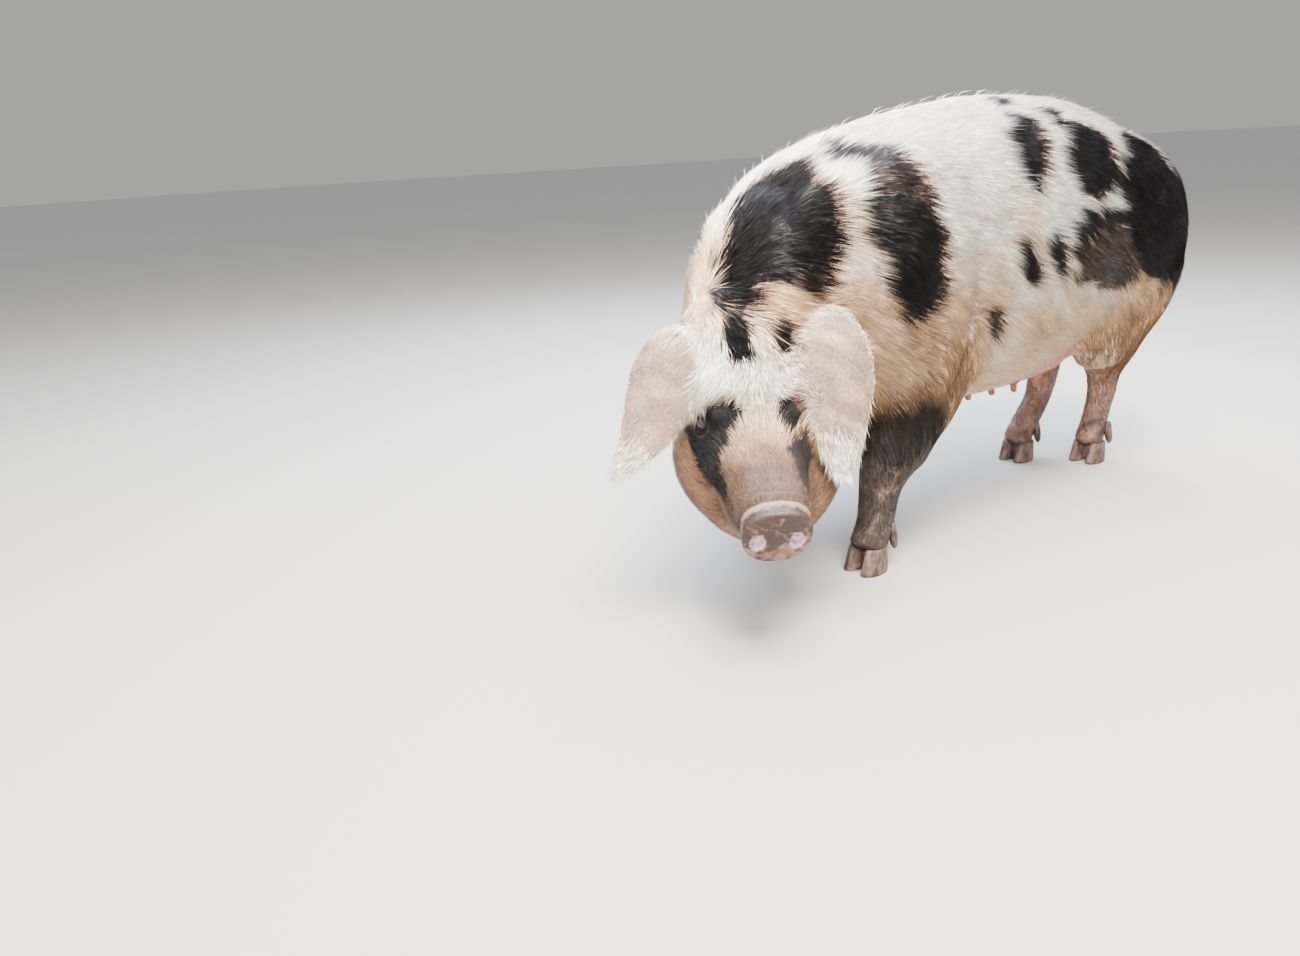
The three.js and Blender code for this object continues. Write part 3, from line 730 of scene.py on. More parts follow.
class Lattice:
    """A cubic lattice drawn together about the head, so that its cells are finest there.

    A node at distance s from the middle moves to the distance r(s), whose slope rises from the
    fine share to 1 as s passes the head's reach.
    """

    STRIDE = 4
    DEEP = 100.0
    BATCH = 200_000

    def __init__(self, middle: Array, cell: float, fine: float, reach: float) -> None:
        """Sets up the two distances as a table.

        Args:
            middle: the point that the lattice is drawn towards.
            cell: size of the outermost cells.
            fine: size of the innermost cells, as a share of that.
            reach: how far the fine cells go.
        """
        self.middle, self.cell = middle, cell
        self.s = np.linspace(0, 4000, 4001)
        inner = reach / fine
        slope = fine + (1 - fine) * ramp(self.s, inner * 0.75, inner * 1.35)
        self.r = np.concatenate([[0], np.cumsum((slope[1:] + slope[:-1]) / 2 * np.diff(self.s))])

    def outward(self, q: Array) -> Array:
        """Places of lattice points, given in lattice millimetres from the middle."""
        s = np.linalg.norm(q, axis=-1, keepdims=True)
        drawn = np.interp(s, self.s, self.r) / np.maximum(s, 1e-6)
        return self.middle + q * np.where(s > 1e-6, drawn, self.r[1])

    def inward(self, p: Array) -> Array:
        """The reverse: lattice millimetres of places."""
        q = p - self.middle
        r = np.linalg.norm(q, axis=-1, keepdims=True)
        return q * np.interp(r, self.r, self.s) / np.maximum(r, 1e-6)

    def surface(self, level: Callable[[Array], Array], low: Array, high: Array) -> tuple[Array, Array]:
        """The zero of a level function, as quads, by surface nets.

        Every cell whose corners differ in sign gets one vertex, at the mean of the crossings on its
        edges, and every lattice edge that crosses the surface gets a quad from its four cells.

        Args:
            level: the function, negative inside.
            low: lowest corner of the space searched.
            high: highest corner.

        Returns:
            Vertices and quads.
        """
        corners = np.stack(np.meshgrid(*[np.linspace(a, b, 9) for a, b in zip(low, high)],
                                       indexing="ij"), -1).reshape(-1, 3)
        q = self.inward(corners)
        start = np.floor(q.min(0) / self.cell) * self.cell
        blocks = (np.ceil((q.max(0) - start) / self.cell / self.STRIDE)).astype(int) + 1
        values = self._values(level, start, blocks)
        inside = values < 0
        cells = np.zeros(np.array(values.shape) - 1, np.uint8)
        n = cells.shape
        shifts = [(i, j, k) for i in (0, 1) for j in (0, 1) for k in (0, 1)]
        for i, j, k in shifts:
            cells += inside[i:n[0] + i, j:n[1] + j, k:n[2] + k]
        active = np.argwhere((cells > 0) & (cells < 8))
        number = np.full(cells.shape, -1, np.int64)
        number[tuple(active.T)] = np.arange(len(active))
        total = np.zeros((len(active), 3))
        count = np.zeros(len(active))
        for axis in range(3):
            for shift in shifts:
                if shift[axis]:
                    continue
                a = active + shift
                b = a.copy()
                b[:, axis] += 1
                va, vb = values[tuple(a.T)], values[tuple(b.T)]
                crosses = (va < 0) != (vb < 0)
                t = np.where(crosses, va / np.where(crosses, va - vb, 1), 0)
                point = a.astype(float)
                point[:, axis] += t
                total += point * crosses[:, None]
                count += crosses
        vertices = self.outward(start + total / count[:, None] * self.cell)
        quads = [self._quads(inside, number, axis) for axis in range(3)]
        return vertices, np.vstack(quads)

    def _values(self, level: Callable[[Array], Array], start: Array, blocks: Array) -> Array:
        """Level values at the nodes: exact near the surface, and only the sign elsewhere.

        Args:
            level: the function.
            start: lattice place of the first node.
            blocks: how many strides of nodes there are each way.

        Returns:
            An array of values, one for each node.
        """
        step = self.STRIDE
        coarse = np.stack(np.meshgrid(*[np.arange(n + 1) * step for n in blocks], indexing="ij"), -1)
        place = self.outward(start + coarse.reshape(-1, 3) * self.cell)
        rough = level(place).reshape(coarse.shape[:3])
        place = place.reshape(*coarse.shape)
        least = np.full(tuple(blocks), np.inf)
        widest = np.zeros(tuple(blocks))
        base = place[:-1, :-1, :-1]
        for i in (0, 1):
            for j in (0, 1):
                for k in (0, 1):
                    part = (slice(i, blocks[0] + i), slice(j, blocks[1] + j), slice(k, blocks[2] + k))
                    least = np.minimum(least, np.abs(rough[part]))
                    widest = np.maximum(widest, np.linalg.norm(place[part] - base, axis=-1))
        near = least < 1.25 * widest
        values = np.where(rough[:-1, :-1, :-1] < 0, -self.DEEP, self.DEEP)
        values = values.repeat(step, 0).repeat(step, 1).repeat(step, 2).astype(np.float32)
        fine = near.repeat(step, 0).repeat(step, 1).repeat(step, 2)
        for axis in range(3):
            fine = fine | np.roll(fine, 1, axis=axis)
        nodes = np.argwhere(fine)
        result = np.empty(len(nodes), np.float32)
        for part in np.array_split(np.arange(len(nodes)), max(1, len(nodes) // self.BATCH)):
            result[part] = level(self.outward(start + nodes[part] * self.cell))
        values[tuple(nodes.T)] = result
        return values

    @staticmethod
    def _quads(inside: Array, number: Array, axis: int) -> Array:
        """Quads across the lattice edges of one axis, turned to face out.

        Args:
            inside: which nodes are inside.
            number: each cell's vertex, or -1.
            axis: the direction of the edges.

        Returns:
            Four vertex numbers in each row.
        """
        b, c = (axis + 1) % 3, (axis + 2) % 3
        ahead = np.roll(inside, -1, axis=axis)
        cross = inside != ahead
        trim = [slice(1, -1)] * 3
        mask = np.zeros_like(cross)
        mask[tuple(trim)] = cross[tuple(trim)]
        node = np.argwhere(mask)
        ring = []
        for db, dc in ((1, 1), (0, 1), (0, 0), (1, 0)):
            cell = node.copy()
            cell[:, b] -= db
            cell[:, c] -= dc
            ring.append(number[tuple(cell.T)])
        quads = np.stack(ring, 1)
        leaving = inside[tuple(node.T)]
        quads[~leaving] = quads[~leaving][:, ::-1]
        return quads[(quads >= 0).all(1)]


@dataclass
class Surface:
    """A mesh being made, of vertices and faces."""

    vertices: Array
    faces: Array

    def normals(self) -> Array:
        """Vertex normals: the sum of the faces' area vectors."""
        v, f = self.vertices, self.faces
        area = np.cross(v[f[:, 2]] - v[f[:, 0]], v[f[:, -1]] - v[f[:, 1]])
        total = np.zeros_like(v)
        for k in range(f.shape[1]):
            for axis in range(3):
                total[:, axis] += np.bincount(f[:, k], area[:, axis], len(v))
        return unit(total)

    def smooth(self, share: float) -> None:
        """Moves each vertex towards the mean of its neighbours on its edges.

        Args:
            share: how much of the way.
        """
        v, f = self.vertices, self.faces
        total, count = np.zeros_like(v), np.zeros(len(v))
        sides = f.shape[1]
        for k in range(sides):
            for other in (f[:, (k + 1) % sides], f[:, k - 1]):
                count += np.bincount(f[:, k], minlength=len(v))
                for axis in range(3):
                    total[:, axis] += np.bincount(f[:, k], v[other, axis], len(v))
        self.vertices = v + (total / np.maximum(count, 1)[:, None] - v) * share


@dataclass
class Eyes:
    """Places of the two eyeballs, and the directions of each."""

    anatomy: Anatomy
    radius: float = 11.8
    start: float = 160
    steps: int = 400

    def __post_init__(self) -> None:
        """Walks in to the face on each side, and sets the eyeball below the coat there."""
        a = self.anatomy
        self.seat: dict[int, Array] = {}
        self.axes: dict[int, Array] = {}
        for sign, _ in SIDES:
            outward = unit(a.head.side * sign + 0.25 * a.head.up)
            reach = np.linspace(self.start, 0, self.steps)[:, None]
            line = a.on_head(a.eye_along, 0, -a.eye_drop) + outward * reach
            surface = line[np.argmax(a.flesh.distance(line) < 0)]
            self.seat[sign] = surface - a.eye_depth * outward
            look = unit(outward + 0.22 * a.head.forward)
            ahead = unit(a.head.forward - (a.head.forward @ look) * look)
            self.axes[sign] = np.stack([look, ahead, np.cross(look, ahead) * sign])


class Skin:
    """One skin over the whole body, with its creases, and all that the coat needs to know of it.

    Depths are those of the coat. The nostril is how far out and how high its middle lies on the
    disc. The fold is how far back the line behind the elbow runs.
    """

    EAR_DEPTH = 2.2
    TAIL_DEPTH = 3.0
    BODY_DEPTH = 9.0
    LEG_DEPTH = 4.0
    DISC_DEPTH = 0.5
    NOSTRIL = (29.0, -11.0)
    FOLD = -207.0

    def __init__(self, anatomy: Anatomy, eyes: Eyes) -> None:
        """Sets up the hollows: nostrils, mouth and the eyes' seats.

        Args:
            anatomy: the forms.
            eyes: where the eyeballs are.
        """
        self.anatomy, self.eyes = anatomy, eyes
        a = anatomy
        self.face = a.head_blob(190, 0, -90, (175, 265, 195))
        self.noise = Noise(21)
        self.nostrils = [self._nostril(sign) for sign, _ in SIDES]
        self.sockets = [Blob(eyes.seat[sign], (eyes.radius + 0.6,) * 3) for sign, _ in SIDES]
        self.lips = [self._lip(sign) for sign, _ in SIDES]

    def _nostril(self, sign: int) -> Sweep:
        """The hollow of one nostril, from stations of how far ahead, out and up, and its reaches.

        Args:
            sign: 1 for the left one, -1 for the right.

        Returns:
            Its form.
        """
        a = self.anatomy
        out, rise = self.NOSTRIL
        rows = [[*(a.disc_middle + a.head.side * sign * (out + more) + a.disc.up * (rise + higher)
                   + a.disc.forward * ahead), *reach]
                for ahead, more, higher, *reach in ((16, 0, 0, 9.5, 12, 12.5), (2, 0, 0, 8, 10.5, 11.5),
                                                    (-9, 2, 0, 7, 9, 9.5), (-18, 0, 2, 5, 6, 6))]
        return Sweep(rows, side=a.head.side + 0.25 * sign * a.disc.up, up=a.disc.up, caps=(6, 6),
                     power=2, steps=3)

    def _lip(self, sign: int) -> Sweep:
        """The slit of the mouth on one side, from under the chin back to its corner.

        Args:
            sign: 1 for the left one, -1 for the right.

        Returns:
            Its form.
        """
        a = self.anatomy
        rough = [a.on_head(along, sign * left, above) for along, left, above in
                 ((372, 0, -106), (362, 26, -104), (335, 46, -103), (300, 58, -108), (262, 70, -120),
                  (228, 84, -128))]
        at = onto(a.flesh.distance, np.array(rough), 6)
        thick = np.array([5.0, 5.0, 4.6, 4.2, 3.6, 2.0])
        rows = np.column_stack([at, thick, thick * 0.8, thick * 0.8])
        return Sweep(rows, side=a.head.side, up=a.head.up, caps=(4, 3), power=2, steps=4)

    def depth(self, p: Array) -> Array:
        """Thickness of the coat, most on the body, less on face and legs, and least on the disc.

        Args:
            p: points.

        Returns:
            One thickness for each.
        """
        a = self.anatomy
        along = a.in_head(p)[:, 0]
        on_face = ramp(self.face.norm(p), 1.2, 0.8) * ramp(along, -60, 70)
        thin = 1.3 + 2.9 * ramp(along, 330, 250)
        nose = ramp((p - a.disc_middle) @ a.disc.forward, -17, -11) * on_face
        body = self.BODY_DEPTH - (self.BODY_DEPTH - self.LEG_DEPTH) * ramp(p[:, 2], 340, 240)
        return (body * (1 - on_face) + thin * on_face) * (1 - nose) + self.DISC_DEPTH * nose

    def level(self, p: Array) -> Array:
        """Signed distance of the skin: flesh let in by the coat, ears and tail joined, hollows cut.

        Args:
            p: points.

        Returns:
            The distance of each, negative inside.
        """
        a = self.anatomy
        d = a.flesh.distance(p) + self.depth(p)
        thin = [(form, self.EAR_DEPTH, 12.0) for form in a.ears.values()]
        thin.append((a.tail_form, self.TAIL_DEPTH, 10.0))
        for form, depth, join in thin:
            near = inside_box(p, form, join + 6)
            d[near] = smooth_min(d[near], form.distance(p[near]) + depth, join)
        for forms, join in ((self.nostrils, 3.0), (self.sockets, 1.0), (self.lips, 3.0)):
            for form in forms:
                near = inside_box(p, form, 10)
                d[near] = -smooth_min(-d[near], form.distance(p[near]), join)
        return d

    def elbow_fold(self, p: Array) -> Array:
        """How near points are to the line behind the shoulder where the skin folds.

        Args:
            p: points.

        Returns:
            0 to 1 for each.
        """
        high = ramp(p[:, 2], 280, 350) * ramp(p[:, 2], 620, 470) * ramp(np.abs(p[:, 0]), 120, 190)
        line = self.FOLD + (p[:, 2] - 430) * 0.06 + 8 * self.noise(p, 150)
        return high * bell(p[:, 1], line, 13)

    def crease(self, p: Array) -> Array:
        """How far the skin sinks: folds of the snout, elbow, jowl, neck and udder.

        Each fold is a bell across its line, or a sine over a wrinkled stretch, faded out by ramps.

        Args:
            p: points.

        Returns:
            Millimetres inwards for each.
        """
        a = self.anatomy
        back = (p - a.disc_middle) @ a.disc.forward
        along, left, above = a.in_head(p).T
        on_face = ramp(self.face.norm(p), 1.1, 0.9)
        wobble = 2.2 * self.noise(p, 34)
        top = ramp(above, -96, -62)
        snout = on_face * ramp(along, 250, 320)
        sink = snout * (3.4 * bell(back + wobble * 0.5, -21, 5.5) - 1.6 * bell(back, -11, 6))
        sink += snout * top * (1.5 * bell(back + wobble, -40, 5) - 0.9 * bell(back + wobble, -31, 5))
        sink += snout * top * 1.0 * bell(back + wobble, -56, 6)
        sink += snout * bell(left, 0, 5) * 1.2 * ramp(back, -10, -2) * ramp(above, -90, -60)
        chin = on_face * ramp(above, -150, -215) * 2.0 * np.sin(along / 9 + 1.5 * self.noise(p, 60))
        sink += 6 * self.elbow_fold(p)
        under = ramp(p[:, 2], 290, 258) * bell(p[:, 1], 210, 170) * ramp(np.abs(p[:, 0]), 110, 60)
        sink += under * 2.6 * np.sin(p[:, 1] / 7 + 2 * self.noise(p, 70))
        neck = bell(p[:, 1], -450, 90) * ramp(np.abs(p[:, 0]), 60, 140) * ramp(p[:, 2], 640, 520)
        sink += neck * 3.0 * np.sin(p[:, 1] / 16 + p[:, 2] / 60 + 1.8 * self.noise(p, 160)) * 0.8
        loose = ramp(p[:, 2], 300, 420) * (1 - on_face)
        sink += loose * 1.6 * self.noise(p, 120) + chin
        return sink

    def build(self) -> Surface:
        """The skin's mesh: surface nets, two steps onto the level, creases and a light smoothing."""
        a = self.anatomy
        lattice = Lattice(a.on_head(205, 0, -80), cell=12.3, fine=0.27, reach=200)
        low, high = np.array([-275.0, -905, a.coronet - 12]), np.array([400.0, 715, 850])
        vertices, quads = lattice.surface(self.level, low, high)
        vertices = onto(self.level, vertices, passes=2, most=2.5)
        skin = Surface(vertices, quads)
        skin.smooth(0.35)
        skin.vertices = skin.vertices - skin.normals() * self.crease(skin.vertices)[:, None]
        return skin


# ---- what the coat is like, part by part

@dataclass(frozen=True)
class Pelage:
    """The bristles of one part.

    Stray is how far they turn from the lie, in radians, and gather how far the tips of a lock are
    drawn together.
    """

    length: float
    width: float
    height: float
    spacing: float
    stray: float = 0.16
    gather: float = 0.45


PELAGE = {
    Part.TRUNK: Pelage(46, 1.15, 7.5, 3.0, 0.1, 0.42),
    Part.NECK: Pelage(48, 1.1, 8.4, 2.8, 0.12, 0.45),
    Part.HEAD: Pelage(17, 0.85, 3.6, 2.1, 0.14, 0.45),
    Part.FORELEG: Pelage(24, 1.05, 3.6, 3.05, 0.16, 0.4),
    Part.HINDLEG: Pelage(24, 1.05, 3.6, 3.05, 0.16, 0.4),
    Part.UDDER: Pelage(15, 0.8, 3.0, 6.5, 0.4, 0.1),
    Part.EAR: Pelage(14, 0.75, 2.2, 2.3, 0.13, 0.4),
    Part.TAIL: Pelage(28, 1.0, 4.0, 2.8, 0.2, 0.4),
}


class Regions:
    """How much each part of the body counts at points, and which way its hair lies there."""

    FAR = 400.0
    NEAR = 60.0
    BLEND = 14.0
    JOWL_OUT = 55.0

    def __init__(self, anatomy: Anatomy, skin: Skin) -> None:
        """Groups the forms by part.

        Args:
            anatomy: the forms.
            skin: the skin that they make.
        """
        a = anatomy
        self.anatomy, self.skin = a, skin
        self.groups: dict[Part, list[Shape]] = {
            Part.TRUNK: [a.trunk_form, *a.shoulders.values(), *a.hams.values()],
            Part.NECK: [a.neck_form],
            Part.HEAD: [a.head_form, *a.chin, *(a.jowl(sign, self.JOWL_OUT) for sign, _ in SIDES)],
            Part.FORELEG: list(a.forelegs.values()),
            Part.HINDLEG: list(a.hindlegs.values()),
            Part.UDDER: [a.udder, *a.glands.values()],
        }

    def weights(self, p: Array) -> Array:
        """Shares of the parts: exp(-distance / 14), made to sum to 1.

        An ear's or the tail's share is 1 where it makes the surface and fades over a few
        millimetres from its root.

        Args:
            p: points.

        Returns:
            A row for each point, with a column for each part.
        """
        d = np.full((len(p), len(Part)), self.FAR)
        for part, forms in self.groups.items():
            for form in forms:
                near = inside_box(p, form, self.NEAR)
                d[near, part] = np.minimum(d[near, part], form.distance(p[near]))
        w = np.exp(-(d - d.min(1, keepdims=True)) / self.BLEND)
        w /= w.sum(1, keepdims=True)
        body = self.anatomy.flesh.distance(p) + self.skin.depth(p)
        thin = [(Part.EAR, form, Skin.EAR_DEPTH) for form in self.anatomy.ears.values()]
        thin.append((Part.TAIL, self.anatomy.tail_form, Skin.TAIL_DEPTH))
        for part, form, depth in thin:
            near = inside_box(p, form, 20)
            share = ramp(body[near] - form.distance(p[near]) - depth, -2, 7)
            w[near] *= (1 - share)[:, None]
            w[near, part] += share
        return w

    def lie(self, p: Array, n: Array, w: Array) -> Array:
        """Directions along the surface in which the hair lies.

        The parts' own directions are mixed by their shares, and what points out of the skin is
        taken away.

        Args:
            p: points.
            n: the skin's normals there.
            w: shares of the parts there.

        Returns:
            A unit vector for each point.
        """
        a = self.anatomy
        flank = ramp(np.abs(n[:, 0]), 0.1, 0.9)
        rear = ramp(p[:, 1], 440, 600)
        fall = 0.12 + 0.45 * flank + 1.0 * rear + 0.5 * ramp(p[:, 1], 150, 420) * flank
        still = np.zeros_like(p)
        flow = {
            Part.TRUNK: BACK * (1 - 0.7 * rear)[:, None] + DOWN * fall[:, None],
            Part.NECK: BACK + DOWN * (0.1 + 0.5 * flank)[:, None],
            Part.HEAD: self._head(p),
            Part.FORELEG: 0.35 * BACK + DOWN + still,
            Part.HINDLEG: 0.25 * BACK + DOWN + still,
            Part.UDDER: BACK + DOWN * 0.2 + still,
            Part.EAR: still.copy(),
            Part.TAIL: still.copy(),
        }
        for part, form in (*((Part.EAR, ear) for ear in a.ears.values()), (Part.TAIL, a.tail_form)):
            near = inside_box(p, form, 10)
            flow[part][near] = form.local(p[near])[5]
        total = sum(unit(flow[part]) * w[:, [part]] for part in Part)
        total -= dots(total, n)[:, None] * n
        return unit(total)

    def _head(self, p: Array) -> Array:
        """The lie on the head: forward from the poll, back from the snout, parted at a whorl.

        Args:
            p: points.

        Returns:
            A vector for each, of any length.
        """
        a = self.anatomy
        along, left, above = a.in_head(p).T
        spread = np.clip(left / 45, -1, 1)
        fore = ramp(along, 205, 150)
        cheek = ramp(above, -60, -130)
        forward = a.head.forward * (fore * 1.6 - 0.75)[:, None]
        outward = a.head.side * (spread * (0.35 + 0.5 * bell(along, 150, 45)))[:, None]
        lift = a.head.up * (0.25 * (1 - fore))[:, None]
        low = 0.5 * BACK + 0.35 * DOWN - 0.8 * a.head.forward
        return blended(forward + outward + lift, low + np.zeros_like(p), cheek)


# ---- colours

def linear(hex_colour: str) -> Array:
    """An sRGB hex colour as linear red, green and blue."""
    c = np.array([int(hex_colour[i:i + 2], 16) for i in (1, 3, 5)]) / 255
    return np.where(c <= 0.04045, c / 12.92, ((c + 0.055) / 1.055) ** 2.4)


@dataclass(frozen=True)
class HairColours:
    """The colours of the bristles."""

    white: str = "#FCF6EC"
    cream: str = "#E0B88C"
    tan: str = "#785B3F"
    black: str = "#05060A"
    brown: str = "#241810"
    taupe: str = "#54443A"
    umber: str = "#352318"
    ear: str = "#CDB49C"
    ear_tip: str = "#FBF3E6"
    # mud, darker than mud alone so that it also holds painted shade on the forelegs
    mud: str = "#20160E"


@dataclass(frozen=True)
class SkinColours:
    """The colours of the skin under them."""

    pink: str = "#B59383"
    face: str = "#654536"
    rosy: str = "#96534C"
    lilac: str = "#6B5248"
    freckle: str = "#3E2F30"
    dark: str = "#0B0A0C"
    # mud, darker than mud alone so that it also holds painted shade on the forelegs
    mud: str = "#140E09"
    disc: str = "#69392C"
    disc_pale: str = "#73635B"
    disc_mud: str = "#1F130C"
    disc_clay: str = "#57402C"
    # the nostril lining, made pale as a painted wet highlight
    nostril: str = "#B089A0"
    # painted highlight: near white deep in the nostril, where the hollow would be dark
    nostril_highlight: str = "#F0E6E8"


class Tint:
    """Colours of skin and hair at points of the body, both from the same markings."""

    def __init__(self, anatomy: Anatomy, markings: Markings, fold: Callable[[Array], Array]) -> None:
        """Sets up the noise that varies them.

        Args:
            anatomy: the forms.
            markings: the dark patches.
            fold: how near points are to the elbow fold, where skin and hair are darkened as painted shade.
        """
        self.anatomy, self.markings, self.fold = anatomy, markings, fold
        self.mottle = Noise(31)
        self.splash = Noise(32)
        self.hair, self.flesh = HairColours(), SkinColours()

    def mud(self, p: Array) -> Array:
        """How muddy points are: the feet and the snout behind its disc, in splashes.

        The forelegs are darkened higher up than the hind ones, partly as mud and partly as painted shade
        under the body.

        Args:
            p: points.

        Returns:
            0 to 1 for each.
        """
        a = self.anatomy
        near_face = ramp(np.linalg.norm(p - a.disc_middle, axis=1), 130, 60)
        # mud and painted shade: on the forelegs the darkening reaches up towards the elbow, in the body's
        # shade
        top = 235 + 155 * ramp(p[:, 1], -170, -240) * ramp(np.abs(p[:, 0]), 95, 130)
        feet = ramp(p[:, 2], top, top - 140)
        back = (p - a.disc_middle) @ a.disc.forward
        blot = self.splash(p, 46) * 0.5 + self.splash(p, 17) * 0.35
        snout = near_face * ramp(back, -50, -18) * 0.3
        # mud and painted shade: the forelegs are darkened more than the hind legs
        feet *= np.where(p[:, 1] > 0, 0.72 + 0.4 * blot, 1.02 + 0.35 * blot)
        feet *= ramp(p[:, 1], -530, -450)
        return np.clip(feet + snout * (0.7 + blot), 0, 1)

    def muzzle(self, p: Array) -> Array:
        """How brown the band over the top of the muzzle is at points, 0 to 1."""
        along, _, above = self.anatomy.in_head(p).T
        wander = 9 * self.mottle(p, 48)
        return ramp(along + 1.5 * wander, 214, 292) * ramp(above + wander, -150, -96)

    def of_skin(self, p: Array, w: Array) -> Array:
        """The colours of the skin.

        Args:
            p: points.
            w: shares of the parts there.

        Returns:
            Linear red, green and blue for each.
        """
        a = self.anatomy
        c = self.flesh
        inside, brown, share = self.markings.dark(p)
        dark = ramp(inside, -4, 3) * (1 - 0.25 * brown) * (0.35 + 0.65 * share)
        ear = w[:, Part.EAR]
        fore = ramp(a.in_head(p)[:, 0], 80, 170)
        base = blended(linear(c.pink), linear(c.face), w[:, Part.HEAD] * fore)
        base = blended(base, linear(c.lilac), ear * np.clip(0.8 + 0.3 * self.mottle(p, 55), 0, 1))
        warm = np.clip(w[:, Part.UDDER] * 1.2 + w[:, Part.TRUNK] * ramp(p[:, 2], 300, 250), 0, 1)
        warm = np.maximum(warm, 0.5 * w[:, Part.HINDLEG] * ramp(p[:, 2], 300, 200))
        base = blended(base, linear(c.rosy), warm * 0.8 * (1 - ear))
        base = blended(base, linear(c.dark), dark * (1 - ear))
        freckles = ramp(self.mottle(p, 6.5) + 0.5 * self.mottle(p, 40), 0.95, 1.25) * ear
        base = blended(base, linear(c.freckle), freckles * 0.6)
        base = blended(base, linear(c.mud), 0.7 * w[:, Part.HEAD] * self.muzzle(p))
        # painted shade: the skin is darkened in the elbow fold
        base = base * (1 - 0.6 * self.fold(p))[:, None]
        base = self._on_disc(p, base)
        back = (p - a.disc_middle) @ a.disc.forward
        return blended(base, linear(c.mud), 0.96 * self.mud(p) * ramp(back, -8, -14))

    def _on_disc(self, p: Array, base: Array) -> Array:
        """Paints the nose disc: reddish, with wet and dried mud on its face and nostrils with a painted
        highlight.

        Its rim is pale above, partly its own paler skin and partly a painted highlight, and muddy below.

        Args:
            p: points.
            base: colours of the skin there.

        Returns:
            The colours with the disc's own in their place.
        """
        a, c = self.anatomy, self.flesh
        q = p - a.disc_middle
        back, left, up = q @ a.disc.forward, q @ a.head.side, q @ a.disc.up
        near = ramp(np.linalg.norm(q, axis=1), 86, 74)
        disc = ramp(back, -15, -12) * near
        colour = blended(linear(c.disc), linear(c.disc_pale), np.clip(0.4 + 0.5 * self.mottle(p, 16), 0, 1))
        smear = 0.55 * self.splash(p, 30) + 0.4 * self.splash(p, 11)
        face = ramp(back + 1.5 * smear, -8, -5)
        out, rise = Skin.NOSTRIL
        nostril = np.hypot(1.2 * (np.abs(left) - out), 0.8 * (up - rise))
        mud = face * ramp(0.8 * ramp(up, -34, 6) - 0.003 * left + 0.7 * smear, 0.0, 0.25)
        mud *= ramp(nostril + 2.5 * smear, 12, 15)
        clay = ramp(self.mottle(p, 15) + 0.7 * self.mottle(p, 6), 0.45, 0.7) * ramp(up, 34, 8)
        wet = blended(linear(c.disc_mud), linear(c.disc_clay), clay)
        colour = blended(colour, wet, 0.94 * mud)
        # painted highlight: the nostrils are painted pale lilac, and near white deep in, as a wet reflection
        nostril_glint = ramp(nostril + 2.5 * smear, 15, 11) * ramp(back, -40, -34)
        colour = blended(colour, linear(c.nostril), nostril_glint)
        colour = blended(colour, linear(c.nostril_highlight), nostril_glint * ramp(back, 1, -4))
        # painted highlight, in part: the rim is painted pale on top; below it is mud
        top = ramp(up + 6 * smear, 8, 26)
        colour = blended(colour, linear(c.disc_mud), (1 - face) * (1 - top) * 0.92)
        colour = blended(colour, linear(c.disc_pale), (1 - face) * top * 0.95)
        return blended(base, colour, disc)

    def of_hair(self, p: Array, w: Array, rng: np.random.Generator) -> Array:
        """The colours of hairs: dark, brown, cream, tan or muddy, one by one.

        Args:
            p: their roots.
            w: shares of the parts there.
            rng: draws what varies from hair to hair.

        Returns:
            Linear red, green and blue for each.
        """
        a = self.anatomy
        c = self.hair
        inside, brown, share = self.markings.dark(p)
        along, left, above = a.in_head(p).T
        dark = (inside + 2.2 * rng.normal(size=len(p)) > 0) & (rng.random(len(p)) < share)
        face = w[:, Part.HEAD]
        leg = w[:, Part.FORELEG] + w[:, Part.HINDLEG]
        mixed = along + 26 * rng.normal(size=len(p)) + 14 * self.mottle(p, 40)
        muzzle = 0.09 + 0.36 * ramp(mixed, 140, 225) + 0.25 * ramp(mixed, 200, 300)
        cheek = 0.56 * ramp(np.abs(left), 52, 86) * ramp(above, -40, -90) * ramp(along, 130, 200)
        stain = blended(self.markings.stain(p)[:, None], np.clip(muzzle + cheek, 0, 1)[:, None], face)
        # painted shade: the hair is stained towards tan in the elbow fold
        stain = stain[:, 0] + 0.45 * leg * ramp(p[:, 2], 430, 300) + 0.15 * self.fold(p)
        stain = np.clip(stain + (0.05 + 0.12 * stain) * rng.normal(size=len(p)), 0, 1)
        pale = blended(linear(c.white), linear(c.cream), np.clip(2 * stain, 0, 1))
        pale = blended(pale, linear(c.tan), np.clip(2 * stain - 1, 0, 1))
        pale = blended(pale, linear(c.umber), face * self.muzzle(p) * rng.uniform(0.65, 1, len(p)))
        ear = w[:, Part.EAR]
        stray = 38 * rng.normal(size=len(p))
        fair = ramp(along + stray, 110, 300) + ramp(along + stray, 60, -30) + 0.5 * self.mottle(p, 26)
        of_ear = blended(linear(c.ear), linear(c.ear_tip), np.clip(fair, 0, 1))
        pale = blended(pale * (1 - 0.3 * face * ramp(along + stray, 90, 190))[:, None], of_ear, ear)
        grey = ramp(inside, -3, 3) * (share < 1) * rng.uniform(0.7, 1, len(p))
        pale = blended(pale, linear(c.taupe), grey)
        roan = brown * 0.75 + 0.10 + 0.1 * rng.random(len(p))
        black = blended(linear(c.black), linear(c.brown), np.clip(roan, 0, 1))
        colour = np.where((dark & (ear < 0.5))[:, None], black, pale)
        # mud, then painted shade: the hair is darkened in the elbow fold
        colour = blended(colour, linear(c.mud), 0.96 * self.mud(p)) * (1 - 0.5 * self.fold(p))[:, None]
        spread = 0.13 + 0.12 * (face + leg + ear).clip(0, 1)
        return colour * (1 + spread * rng.normal(size=len(p))).clip(0.45, 1.35)[:, None]


# ---- the coat

